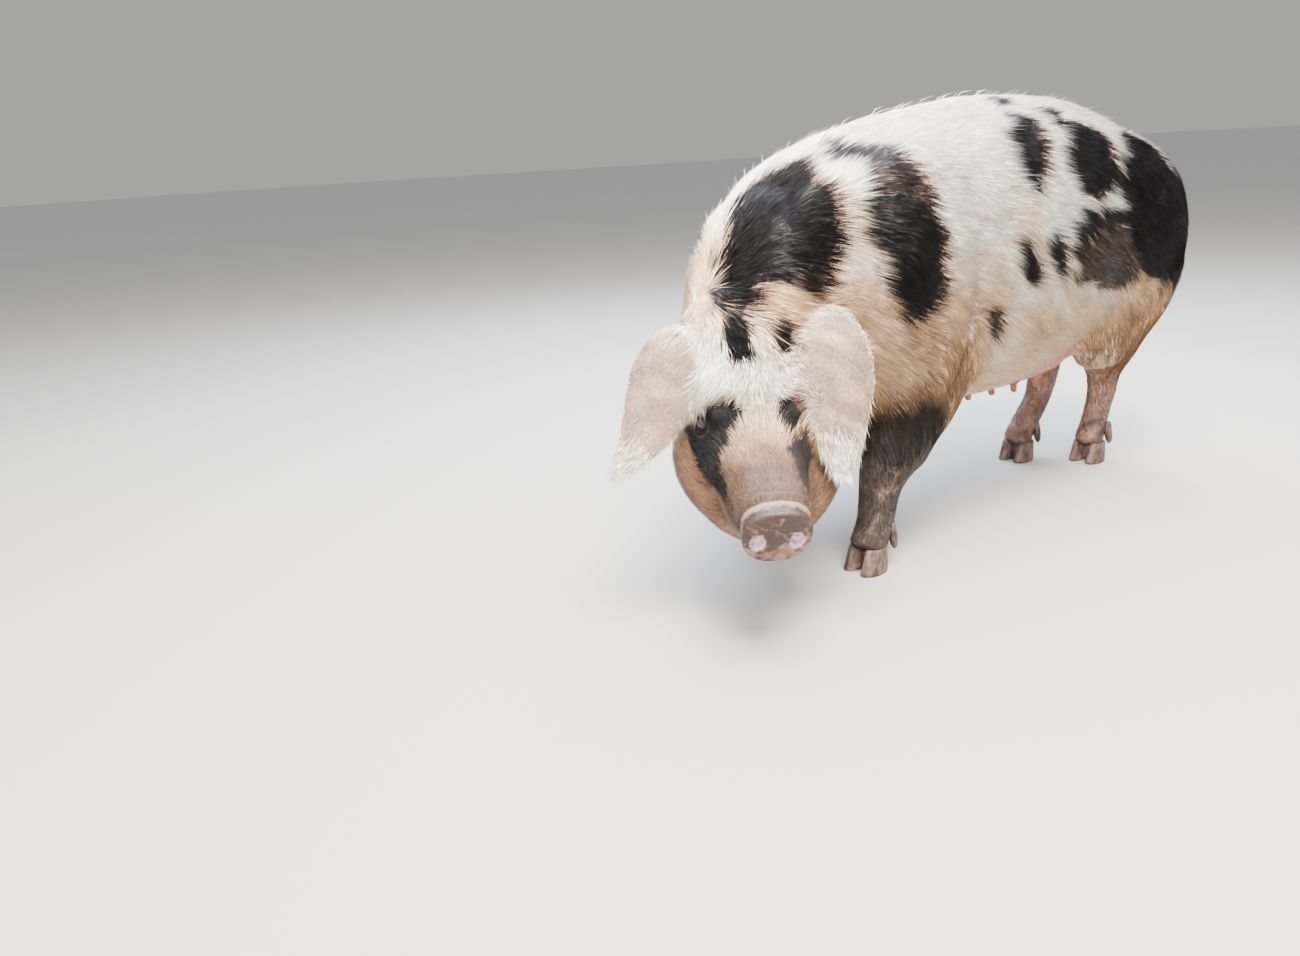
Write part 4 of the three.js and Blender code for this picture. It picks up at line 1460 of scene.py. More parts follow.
@dataclass
class Roots:
    """Where hairs grow: places, normals, lie, part shares and their own sizes, one row each."""

    at: Array
    normal: Array
    lie: Array
    weight: Array
    length: Array
    width: Array
    height: Array
    gather: Array

    def __len__(self) -> int:
        """How many hairs."""
        return len(self.at)

    def only(self, keep: Array) -> "Roots":
        """The roots picked by a mask or by indices."""
        return Roots(*(getattr(self, name)[keep] for name in self.__dataclass_fields__))


class Coat:
    """Bristles rooted all over the skin, gathered in locks that follow its lie."""

    ASTRAY = 0.012
    ASTRAY_RISE = 2.6
    SUNK = 1.2

    def __init__(self, anatomy: Anatomy, skin: Skin, regions: Regions, tint: Tint) -> None:
        """Keeps what the hair grows on, and seeds the draws.

        Args:
            anatomy: the forms.
            skin: the skin.
            regions: the parts of the body.
            tint: the colours.
        """
        self.anatomy, self.skin, self.regions, self.tint = anatomy, skin, regions, tint
        self.rng = np.random.default_rng(7)
        self.swirl = Noise(41)
        self.bundle = Noise(42)

    def sow(self, surface: Surface, normals: Array, thin: float = 1.0) -> Roots:
        """Plants roots over the skin.

        Each face gets roots in proportion to its area over the square of the spacing there; the
        running total of that, cut at even steps, gives an even spread.

        Args:
            surface: the skin.
            normals: its vertex normals.
            thin: share of the hairs to plant.

        Returns:
            The roots, with all their sizes.
        """
        v, f = surface.vertices, surface.faces
        middle = v[f].mean(1)
        w = self.regions.weights(middle)
        table = np.array([[s.length, s.width, s.height, s.spacing, s.stray, s.gather]
                          for s in PELAGE.values()])
        sizes = w @ table
        area = 0.5 * np.linalg.norm(np.cross(v[f[:, 2]] - v[f[:, 0]], v[f[:, 3]] - v[f[:, 1]]), axis=1)
        density = area / sizes[:, 3] ** 2 * self._grows(middle) * thin
        total = np.concatenate([[0], np.cumsum(density)])
        marks = np.arange(0.5, total[-1]) + self.rng.uniform(-0.4, 0.4, int(total[-1] + 0.5))
        face = np.clip(np.searchsorted(total, marks) - 1, 0, len(f) - 1)
        s, t = self.rng.random((2, len(face), 1))
        at, normal = ((a * (1 - s) + b * s) * (1 - t) + (d * (1 - s) + c * s) * t
                      for a, b, c, d in ([rows[f[face, k]] for k in range(4)] for rows in (v, normals)))
        normal = unit(normal)
        sizes, w = sizes[face], w[face]
        lie = self.regions.lie(at, normal, w)
        side = np.cross(normal, lie)
        turn = 0.42 * self.swirl(at, 130) + 0.26 * self.swirl(at, 38)
        turn = turn * (0.4 + 1.5 * sizes[:, 4]) + sizes[:, 4] * self.rng.normal(size=len(at))
        lie = lie * np.cos(turn)[:, None] + side * np.sin(turn)[:, None]
        scale = self.rng.uniform(0.72, 1.25, len(at))
        length, height = self._sizes(at, w, sizes)
        astray = self.rng.random(len(at)) < self.ASTRAY
        astray &= (w[:, Part.TRUNK] + w[:, Part.NECK] > 0.6) & (at[:, 2] > 560)
        height *= np.where(astray, self.ASTRAY_RISE, 1)
        width = sizes[:, 1] * self.rng.uniform(0.8, 1.2, len(at))
        height = height * self.rng.uniform(0.55, 1.12, len(at))
        return Roots(at, normal, lie, w, length * scale, width, height, sizes[:, 5])

    def _grows(self, p: Array) -> Array:
        """Share of the full growth: none on the disc, in hollows, by the eyes or on the coronets.

        Args:
            p: points.

        Returns:
            0 to 1 for each.
        """
        a = self.anatomy
        back = (p - a.disc_middle) @ a.disc.forward
        near = ramp(np.linalg.norm(p - a.disc_middle, axis=1), 130, 100)
        share = 1 - near * ramp(back, -14, -10)
        for form in self.skin.lips:
            k = inside_box(p, form, 8)
            share[k] *= ramp(form.distance(p[k]), 0.5, 3)
        for sign, _ in SIDES:
            q = p - self.skin.eyes.seat[sign]
            look, ahead, up = self.skin.eyes.axes[sign]
            off = np.hypot(q @ ahead / 1.25, q @ up)
            share *= np.where(q @ look > -4, ramp(off, 10.5, 13.5), 1)
        share *= ramp(p[:, 2], a.coronet - 6, a.coronet + 2)
        return share

    def _sizes(self, p: Array, w: Array, sizes: Array) -> tuple[Array, Array]:
        """Lengths and heights: longer on crest, poll, ears' roots and tips and tail tip, short on the snout.

        Args:
            p: roots.
            w: shares of the parts there.
            sizes: the parts' own sizes, mixed by those shares.

        Returns:
            Length and height of each hair, before it varies.
        """
        a = self.anatomy
        along, _, above = a.in_head(p).T
        face = w[:, Part.HEAD]
        length, height = sizes[:, 0].copy(), sizes[:, 2].copy()
        poll = ramp(along, 225, 90) * ramp(above, -110, -40)
        length *= 1 + face * (1.1 * poll - 0.42 * ramp(along, 190, 290) + 0.8 * ramp(above, -110, -190))
        length *= 1 - 0.4 * face * ramp(along, 320, 350)
        height *= 1 + face * (0.5 * poll - 0.35 * ramp(along, 220, 300))
        crest = ramp(np.abs(p[:, 0] - 30 * ramp(p[:, 1], -400, -600)), 60, 10) * ramp(p[:, 1], 300, -200)
        crest *= ramp(p[:, 2], 520, 600) * (1 - face)
        length *= 1 + 0.5 * crest
        legs = w[:, Part.FORELEG] + w[:, Part.HINDLEG]
        length *= 1 + legs * (0.35 - 0.75 * ramp(p[:, 2], 300, 120))
        height *= 1 - 0.45 * legs * ramp(p[:, 2], 260, 120)
        belly = ramp(p[:, 2], 330, 265) * w[:, Part.TRUNK]
        length *= 1 - 0.35 * belly
        for form in a.ears.values():
            k = inside_box(p, form, 6)
            t = form.local(p[k])[0]
            grow = w[k, Part.EAR] * (ramp(t, 0.62, 0.98) + 0.7 * ramp(t, 0.4, 0.1))
            length[k] *= 1 + 1.1 * grow
            height[k] *= 1 + 0.2 * grow
        k = inside_box(p, a.tail_form, 6)
        t = a.tail_form.local(p[k])[0]
        length[k] *= 1 + w[k, Part.TAIL] * (1.1 * ramp(t, 0.75, 1) - 0.45 * ramp(t, 0.5, 0.1))
        return length, height

    def locks(self, roots: Roots) -> Array:
        """The number of the lock that each hair belongs to: hairs of one small cell of space."""
        cell = 9.5 * (roots.length / 34)[:, None].clip(0.35, 1.2)
        bend = np.stack([self.bundle(roots.at + k * 50, 60) for k in range(3)], 1)
        key = np.floor((roots.at + 0.35 * cell * bend) / cell).astype(np.int64) + 1000
        return np.unique((key[:, 0] * 2003 + key[:, 1]) * 2003 + key[:, 2], return_inverse=True)[1]

    def shades(self, group: Array, spread: Array) -> Array:
        """A shade for each hair that its whole lock shares, about 1, with its own spread."""
        return (1 + spread * self.rng.normal(size=group.max() + 1)[group]).clip(0.55, 1.3)

    def spine(self, roots: Roots, group: Array) -> list[Array]:
        """Three points on each hair: root, middle and tip.

        The hair leaves the skin at a slant, then lies along it. Tips of hairs in one lock are drawn
        together, and middles and tips are moved so that their height over the skin is what it
        should be even where the body curves. On an ear the level rises faster than the distance,
        so it is divided by its slope.

        Args:
            roots: the hairs.
            group: the lock of each.

        Returns:
            Three arrays of points.
        """
        at, n, t = roots.at, roots.normal, roots.lie
        length, height = roots.length[:, None], roots.height[:, None]
        root = at - n * self.SUNK
        middle = at + t * length * 0.46 + n * height * 0.85
        tip = at + t * length * 0.98 + n * height
        count = np.bincount(group)
        centre = np.stack([np.bincount(group, tip[:, k]) / count for k in range(3)], 1)[group]
        near = np.linalg.norm(centre - tip, axis=1) < 14
        pull = (roots.gather * near * self.rng.uniform(0.5, 1.2, len(tip)))[:, None]
        tip = tip + (centre - tip) * pull
        middle = middle + (centre - tip) * pull * 0.3
        level = self.skin.level
        slope = np.ones(len(at))
        thin = np.flatnonzero(roots.weight[:, Part.EAR] > 0.02)
        slope[thin] = np.clip(level(at[thin] + 2.5 * n[thin]) / 2.5, 0.4, 9)
        for point, share in ((middle, 0.85), (tip, 1.0)):
            over = level(point) / slope
            wrong = np.clip(over - roots.height * share, -8, 14)
            point -= n * (wrong * 0.8)[:, None]
        return [root, middle, tip]


# ---- putting meshes into the scene

CLAW = "claw_foreleg_left_inner"
CLAW_MIDDLE = (0.11875, -0.37165)    # metres in the pig's frame


def part_shift() -> Array:
    """What is added to the pig's frame, in metres, to reach the part's: found from one claw's box."""
    low, high = (np.array(corner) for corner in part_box(CLAW))
    middle = (low + high) / 2
    return np.array([middle[0] - CLAW_MIDDLE[0], middle[1] - CLAW_MIDDLE[1], 0.0])


@dataclass
class Bench:
    """Makes Blender meshes from arrays in the pig's frame, and keeps count of them."""

    shift: Array
    triangles: int = 0

    def put(self, name: str, vertices: Array, faces: Sequence[Array], material: bpy.types.Material,
            tone: Optional[Array] = None, extra: Optional[dict[str, Array]] = None,
            uv: Optional[Array] = None) -> bpy.types.Object:
        """Adds a piece.

        Args:
            name: the piece's name.
            vertices: millimetres in the pig's frame.
            faces: index arrays, each with its own number of corners.
            material: its finish.
            tone: linear colour of each vertex.
            extra: other single values of each vertex, by name.
            uv: texture place of each face corner, in the order of the faces.

        Returns:
            The new object, riding on the body.
        """
        mesh = bpy.data.meshes.new(name)
        mesh.vertices.add(len(vertices))
        place = (vertices * MM + self.shift).astype(np.float32)
        mesh.vertices.foreach_set("co", place.ravel())
        corners = np.concatenate([f.ravel() for f in faces]).astype(np.int32)
        sizes = np.concatenate([np.full(len(f), f.shape[1]) for f in faces]).astype(np.int32)
        mesh.loops.add(len(corners))
        mesh.loops.foreach_set("vertex_index", corners)
        mesh.polygons.add(len(sizes))
        starts = np.concatenate([[0], np.cumsum(sizes)[:-1]]).astype(np.int32)
        mesh.polygons.foreach_set("loop_start", starts)
        mesh.update(calc_edges=True)
        mesh.polygons.foreach_set("use_smooth", np.ones(len(sizes), bool))
        if tone is not None:
            layer = mesh.attributes.new("tone", "FLOAT_COLOR", "POINT")
            rgba = np.column_stack([np.clip(tone, 0, 1), np.ones(len(tone))]).astype(np.float32)
            layer.data.foreach_set("color", rgba.ravel())
        for key, values in (extra or {}).items():
            layer = mesh.attributes.new(key, "FLOAT", "POINT")
            layer.data.foreach_set("value", np.asarray(values, np.float32))
        if uv is not None:
            mesh.uv_layers.new(name="OFBake").data.foreach_set("uv", uv.astype(np.float32).ravel())
        mesh.materials.append(material)
        mesh.validate()
        piece = bpy.data.objects.new(name, mesh)
        bpy.context.scene.collection.objects.link(piece)
        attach(piece, "root")
        count = int((sizes - 2).sum())
        self.triangles += count
        LOG.info("%s: %d triangles", name, count)
        return piece


def grid_faces(rows: int, columns: int) -> Array:
    """Quads of a grid of vertices, row after row, closed round its columns."""
    i = np.arange(rows - 1)[:, None] * columns
    j = np.arange(columns)[None]
    k = (j + 1) % columns
    return np.stack([i + j, i + k, i + columns + k, i + columns + j], -1).reshape(-1, 4)


def cap_faces(rows: int, columns: int) -> Array:
    """Triangles that close both ends of such a grid on the two vertices that follow it."""
    j = np.arange(columns)
    k = (j + 1) % columns
    first, last = rows * columns, (rows - 1) * columns
    return np.vstack([np.stack([np.full(columns, first), k, j], 1),
                      np.stack([np.full(columns, first + 1), last + j, last + k], 1)])


def tube(rows: Array, columns: int = 28) -> tuple[Array, list[Array]]:
    """A tapering tube, closed at both ends, whose rings are side cos + 0.85 other sin.

    Args:
        rows: stations of place and radius.
        columns: vertices in each ring.

    Returns:
        Vertices and faces.
    """
    rows = smooth_rows(rows, 6)
    angle = np.linspace(0, FULL_TURN, columns, endpoint=False)
    tangent = unit(np.gradient(rows[:, :3], axis=0))
    side = unit(np.cross(tangent, np.array([0, 1.0, 0.3])))
    other = np.cross(tangent, side)
    ring = (rows[:, None, :3] + (side[:, None] * np.cos(angle)[None, :, None]
            + other[:, None] * 0.85 * np.sin(angle)[None, :, None]) * rows[:, None, 3:])
    vertices = np.vstack([ring.reshape(-1, 3), rows[:1, :3], rows[-1:, :3]])
    return vertices, [grid_faces(len(rows), columns), cap_faces(len(rows), columns)]


# ---- finishes

def add_node(tree: bpy.types.NodeTree, kind: str, links: Optional[dict] = None,
             **settings: object) -> bpy.types.Node:
    """Adds a node to a material.

    Args:
        tree: the material's nodes.
        kind: the node's type.
        links: for an input's name or number, a value or the socket that feeds it.
        settings: the node's own properties.

    Returns:
        The node.
    """
    node = tree.nodes.new(kind)
    for key, value in settings.items():
        setattr(node, key, value)
    for key, value in (links or {}).items():
        if isinstance(value, bpy.types.NodeSocket):
            tree.links.new(value, node.inputs[key])
        else:
            node.inputs[key].default_value = value
    return node


@dataclass
class Mixture:
    """A material with one Principled shader, whose sockets are set as given, and its coordinates."""

    name: str
    surface: dict[str, float]

    def __post_init__(self) -> None:
        """Makes the material."""
        self.material = bpy.data.materials.new(self.name)
        self.material.use_nodes = True
        self.tree = self.material.node_tree
        self.shader = self.tree.nodes["Principled BSDF"]
        for key, value in self.surface.items():
            self.shader.inputs[key].default_value = value
        self.place = add_node(self.tree, "ShaderNodeTexCoord").outputs["Object"]

    def feed(self, **sockets: bpy.types.NodeSocket) -> None:
        """Links sockets to the shader's inputs, named with _ for a space."""
        for key, socket in sockets.items():
            self.tree.links.new(socket, self.shader.inputs[key.replace("_", " ")])

    def shade_tones(self, pattern: bpy.types.NodeSocket, span: tuple[float, float],
                    shades: tuple[float, float]) -> None:
        """Colours the surface by its own tones, made darker and lighter by a pattern.

        Args:
            pattern: a grey pattern.
            span: its values that count as dark and light.
            shades: what the tones are multiplied by at those.
        """
        tone = add_node(self.tree, "ShaderNodeAttribute", attribute_name="tone").outputs["Color"]
        shade = add_node(self.tree, "ShaderNodeMapRange", {
            0: pattern, 1: span[0], 2: span[1], 3: shades[0], 4: shades[1]})
        colour = add_node(self.tree, "ShaderNodeVectorMath", {0: tone, 1: shade.outputs[0]},
                          operation="MULTIPLY")
        self.feed(Base_Color=colour.outputs[0])


@dataclass(frozen=True)
class PigSkin:
    """Living skin: soft satin, pored, with fine wrinkles; wet where the nose is.

    Pores are about 2.5 mm apart and wrinkles about 9 mm, both a little coarser than real so that
    they show.
    """

    pores_per_metre: float = 400
    wrinkles_per_metre: float = 110

    def make(self) -> bpy.types.Material:
        """Builds the material. Colour comes from the skin's own tones, gloss from its wetness."""
        mix = Mixture("pig_skin", {"Specular IOR Level": 0.35, "Subsurface Weight": 0.10,
                                   "Subsurface Scale": 0.004})
        tree, place = mix.tree, mix.place
        wet = add_node(tree, "ShaderNodeAttribute", attribute_name="wet").outputs["Fac"]
        blotch = add_node(tree, "ShaderNodeTexNoise", {
            "Vector": place, "Scale": 260.0, "Detail": 4.0, "Roughness": 0.65}).outputs["Fac"]
        mix.shade_tones(blotch, (0.3, 0.7), (0.80, 1.14))
        rough = add_node(tree, "ShaderNodeMapRange", {0: wet, 1: 0.0, 2: 1.0, 3: 0.62, 4: 0.30})
        patchy = add_node(tree, "ShaderNodeMath", {0: rough.outputs[0], 1: blotch}, operation="MULTIPLY")
        total = add_node(tree, "ShaderNodeMath", {0: patchy.outputs[0], 1: rough.outputs[0]},
                         operation="ADD")
        level = add_node(tree, "ShaderNodeMath", {0: total.outputs[0], 1: 0.68}, operation="MULTIPLY")
        pores = add_node(tree, "ShaderNodeTexVoronoi", {
            "Vector": place, "Scale": self.pores_per_metre}, feature="SMOOTH_F1").outputs["Distance"]
        folds = add_node(tree, "ShaderNodeTexNoise", {
            "Vector": place, "Scale": self.wrinkles_per_metre, "Detail": 5.0,
            "Roughness": 0.6}).outputs["Fac"]
        fine = add_node(tree, "ShaderNodeBump", {
            "Height": pores, "Strength": 0.35, "Distance": 0.0007})
        coarse = add_node(tree, "ShaderNodeBump", {
            "Height": folds, "Strength": 0.6, "Distance": 0.0028, "Normal": fine.outputs[0]})
        mix.feed(Roughness=level.outputs[0], Normal=coarse.outputs[0])
        return mix.material


@dataclass(frozen=True)
class Bristle:
    """Pig bristle, a stiff keratin hair: satin, each with its own tone, paler towards the tip."""

    roughness: float = 0.42

    def make(self) -> bpy.types.Material:
        """Builds the material. Colour comes from each hair's own tone."""
        mix = Mixture("pig_bristle", {
            "Roughness": self.roughness, "Specular IOR Level": 0.14, "IOR": 1.55})
        dust = add_node(mix.tree, "ShaderNodeTexNoise", {
            "Vector": mix.place, "Scale": 90.0, "Detail": 3.0}).outputs["Fac"]
        mix.shade_tones(dust, (0.3, 0.7), (0.88, 1.1))
        return mix.material


@dataclass(frozen=True)
class ClawHorn:
    """Hoof horn: keratin, tan, faintly ringed by growth, and muddy.

    Growth rings are 12.6 mm apart, wider than real so that they show: the wave pattern's bands are
    2 pi / (20 scale) metres apart.
    """

    ring_scale: float = 25

    def make(self) -> bpy.types.Material:
        """Builds the material: growth rings by height, scratches and mud by noise."""
        mix = Mixture("claw_horn", {"Specular IOR Level": 0.4, "IOR": 1.55})
        tree, place = mix.tree, mix.place
        rings = add_node(tree, "ShaderNodeTexWave", {
            "Vector": place, "Scale": self.ring_scale, "Distortion": 3.0,
            "Detail": 3.0, "Detail Scale": 40.0}, bands_direction="Z").outputs["Fac"]
        grit = add_node(tree, "ShaderNodeTexNoise", {
            "Vector": place, "Scale": 180.0, "Detail": 6.0, "Roughness": 0.7}).outputs["Fac"]
        mix.shade_tones(grit, (0.35, 0.65), (0.72, 1.12))
        height = add_node(tree, "ShaderNodeMath", {0: rings, 1: grit}, operation="ADD")
        bump = add_node(tree, "ShaderNodeBump", {
            "Height": height.outputs[0], "Strength": 0.5, "Distance": 0.0008})
        rough = add_node(tree, "ShaderNodeMapRange", {0: grit, 1: 0.3, 2: 0.7, 3: 0.34, 4: 0.7})
        mix.feed(Roughness=rough.outputs[0], Normal=bump.outputs[0])
        return mix.material


@dataclass(frozen=True)
class WetEye:
    """The eyeball: a wet clear cornea over a dark brown iris, so a sharp highlight on near black."""

    cornea: float = 1.376

    def make(self) -> bpy.types.Material:
        """Builds the material. Iris, pupil and white come from the ball's own tones."""
        mix = Mixture("wet_eye", {
            "Roughness": 0.12, "IOR": self.cornea, "Coat Weight": 1.0, "Coat Roughness": 0.03,
            "Coat IOR": self.cornea})
        fibres = add_node(mix.tree, "ShaderNodeTexNoise", {
            "Vector": mix.place, "Scale": 900.0, "Detail": 3.0}).outputs["Fac"]
        mix.shade_tones(fibres, (0.3, 0.7), (0.75, 1.2))
        return mix.material


@dataclass(frozen=True)
class StudioFloor:
    """A plain pale matt floor, with the faintest unevenness of painted board."""

    colour: str = "#9A9792"

    def make(self) -> bpy.types.Material:
        """Builds the material."""
        mix = Mixture("pale_floor", {"Roughness": 0.85})
        cloud = add_node(mix.tree, "ShaderNodeTexNoise", {"Vector": mix.place, "Scale": 1.2, "Detail": 3.0})
        tint = add_node(mix.tree, "ShaderNodeMix", {
            "Factor": cloud.outputs["Fac"], 6: (*linear(self.colour), 1),
            7: (*(linear(self.colour) * 0.94), 1)}, data_type="RGBA")
        mix.feed(Base_Color=tint.outputs[2])
        return mix.material


# ---- the coat's meshes

class HairMesh:
    """Turns spines into closed three-sided hairs, bent ones of ten triangles and straight of four."""

    TURN = np.arange(3) * FULL_TURN / 3
    PATCH = 0.003

    def __init__(self, roots: Roots, spine: Sequence[Array], tone: Array, bent: bool) -> None:
        """Works out vertices, faces and tones.

        Round each point of the spine but the tip stand three vertices: the hair's side times the
        cosine plus the skin's normal times the sine, times the half width there.

        Args:
            roots: the hairs.
            spine: their roots, middles and tips.
            tone: their colours.
            bent: whether they turn at the middle.
        """
        self.bent = bent
        side = np.cross(roots.normal, roots.lie)
        rings, shades = [], []
        for point, thick, shade in ((spine[0], 0.42, 0.84), (spine[1], 0.5, 1.0))[:2 if bent else 1]:
            half = (roots.width * (thick if bent else 0.5))[:, None, None]
            offset = (side[:, None] * np.cos(self.TURN)[None, :, None]
                      + roots.normal[:, None] * 0.75 * np.sin(self.TURN)[None, :, None]) * half
            rings.append(point[:, None] + offset)
            shades.append(np.full((len(tone), 3), shade))
        rings.append(spine[2][:, None])
        shades.append(np.full((len(tone), 1), 1.08))
        stacked = np.concatenate(rings, 1)
        self.each = stacked.shape[1]
        self.vertices = stacked.reshape(-1, 3)
        self.tone = (tone[:, None] * np.concatenate(shades, 1)[..., None]).reshape(-1, 3)
        start = (np.arange(len(roots)) * self.each)[:, None, None]
        k = np.arange(3)
        after = (k + 1) % 3
        last = self.each - 4
        self.faces = [start + np.stack([last + k, last + after, np.full(3, self.each - 1)], 1)[None],
                      start + np.array([[2, 1, 0]])[None]]
        if bent:
            self.faces.insert(0, start + np.stack([k, after, 3 + after, 3 + k], 1)[None])
        self.faces = [f.reshape(-1, f.shape[-1]) for f in self.faces]

    def uv(self, place: Array) -> Array:
        """Texture places: the root's own place plus a spot on a small square.

        Args:
            place: flat places of the roots.

        Returns:
            Two numbers for each corner, in the order of the faces.
        """
        k = np.arange(3) / 3
        after = k + 1 / 3
        zero, half, one = np.zeros(3), np.full(3, 0.5), np.ones(3)
        base = half if self.bent else zero
        spots = [np.stack([np.stack([k, base], 1), np.stack([after, base], 1),
                           np.stack([(k + after) / 2, one], 1)], 1),
                 np.array([[[1, 0], [0.5, 0], [0, 0]]], float)]
        if self.bent:
            spots.insert(0, np.stack([np.stack([k, zero], 1), np.stack([after, zero], 1),
                                      np.stack([after, half], 1), np.stack([k, half], 1)], 1))
        corners = (place[:, None, None] + (spot[None] - 0.5) * self.PATCH for spot in spots)
        return np.concatenate([corner.reshape(-1, 2) for corner in corners])


class Unwrap:
    """Flat places of points of the skin, part by part, from the body's own shape."""

    def __init__(self, anatomy: Anatomy) -> None:
        """Keeps the forms that the parts are unrolled about."""
        self.anatomy = anatomy

    def body(self, p: Array) -> Array:
        """Trunk and neck, unrolled about their long axis: along it, and the angle round it."""
        angle = np.arctan2(p[:, 0], p[:, 2] - 520)
        return np.stack([p[:, 1] / 1300, angle / FULL_TURN], 1)

    def head(self, p: Array) -> Array:
        """The head, unrolled about the line of the face."""
        along, left, above = self.anatomy.in_head(p).T
        return np.stack([along / 450, np.arctan2(left, above + 95) / FULL_TURN], 1)

    def ears(self, p: Array) -> Array:
        """Both ears: along, and across with the under side beside the upper.

        Args:
            p: points.

        Returns:
            Two numbers for each.
        """
        out = np.zeros((len(p), 2))
        for i, (sign, _) in enumerate(SIDES):
            form = self.anatomy.ears[sign]
            mine = np.sign(self.anatomy.in_head(p)[:, 1]) == sign
            along, across, above, _, size, _ = form.local(p[mine])
            out[mine] = np.stack([along, 0.25 * across / size[:, 0] + 0.6 * (above > 0) + 1.3 * i], 1)
        return out

    def legs(self, p: Array) -> Array:
        """The four legs side by side: height, and the angle about each.

        Args:
            p: points.

        Returns:
            Two numbers for each.
        """
        out = np.zeros((len(p), 2))
        forms = [*self.anatomy.forelegs.values(), *self.anatomy.hindlegs.values()]
        which = (p[:, 0] < 0).astype(int) + 2 * (p[:, 1] > 100)
        for i, form in enumerate(forms):
            mine = which == i
            _, across, above, *_ = form.local(p[mine])
            out[mine] = np.stack([p[mine, 2] / 500, i + np.arctan2(across, above) / FULL_TURN], 1)
        return out

    def tail(self, p: Array) -> Array:
        """The tail: along, and the angle about it."""
        along, across, above, *_ = self.anatomy.tail_form.local(p)
        return np.stack([along, np.arctan2(across, above) / FULL_TURN], 1)


MOST_IN_A_PIECE = 195_000
LONG = {"body": 62.0, "head": 31.0, "ears": 24.0, "legs": 36.0, "tail": 0.0}


def coat_pieces(bench: Bench, coat: Coat, roots: Roots, material: bpy.types.Material) -> None:
    """Makes the coat in pieces that each stay under the limit of triangles.

    Args:
        bench: where meshes are made.
        coat: the coat, for the spines and tones.
        roots: every root.
        material: the bristle.
    """
    unwrap = Unwrap(coat.anatomy)
    plans = (("body", unwrap.body, [Part.TRUNK, Part.NECK, Part.UDDER]), ("head", unwrap.head, [Part.HEAD]),
             ("ears", unwrap.ears, [Part.EAR]), ("legs", unwrap.legs, [Part.FORELEG, Part.HINDLEG]),
             ("tail", unwrap.tail, [Part.TAIL]))
    best = np.argmax([sum(roots.weight[:, part] for part in parts) for *_, parts in plans], 0)
    for number, (name, flat, _) in enumerate(plans):
        index = np.flatnonzero(best == number)
        long = roots.length[index] > LONG[name]
        _coat_group(bench, coat, roots, index[long], f"{name}_long", True, flat, material)
        _coat_group(bench, coat, roots, index[~long], name, False, flat, material)


def _coat_group(bench: Bench, coat: Coat, roots: Roots, index: Array, name: str, bent: bool,
                flat: Callable[[Array], Array], material: bpy.types.Material) -> None:
    """Makes one group of hairs, cut by length along the body into as many pieces as it needs.

    Args:
        bench: where meshes are made.
        coat: the coat.
        roots: every root.
        index: which of them are of this group.
        name: the group's name.
        bent: whether its hairs turn at the middle.
        flat: gives their flat places.
        material: the bristle.
    """
    if not len(index):
        return
    each = 10 if bent else 4
    index = index[np.argsort(roots.at[index, 1] + 2000 * (roots.at[index, 0] > 0), kind="stable")]
    parts = math.ceil(len(index) * each / MOST_IN_A_PIECE)
    for i, part in enumerate(np.array_split(index, parts)):
        mine = roots.only(part)
        group = coat.locks(mine)
        fine = 1 - mine.weight[:, Part.TRUNK] - mine.weight[:, Part.NECK]
        tone = coat.tint.of_hair(mine.at, mine.weight, coat.rng)
        tone *= coat.shades(group, 0.14 + 0.06 * fine)[:, None]
        hairs = HairMesh(mine, coat.spine(mine, group), tone, bent)
        place = flat(mine.at)
        low, high = place.min(0), place.max(0)
        place = 0.02 + 0.96 * (place - low) / np.maximum(high - low, 1e-6)
        bench.put(f"coat_{name}_{i + 1}", hairs.vertices, hairs.faces, material, hairs.tone,
                  uv=hairs.uv(place))


# ---- eyes and lids

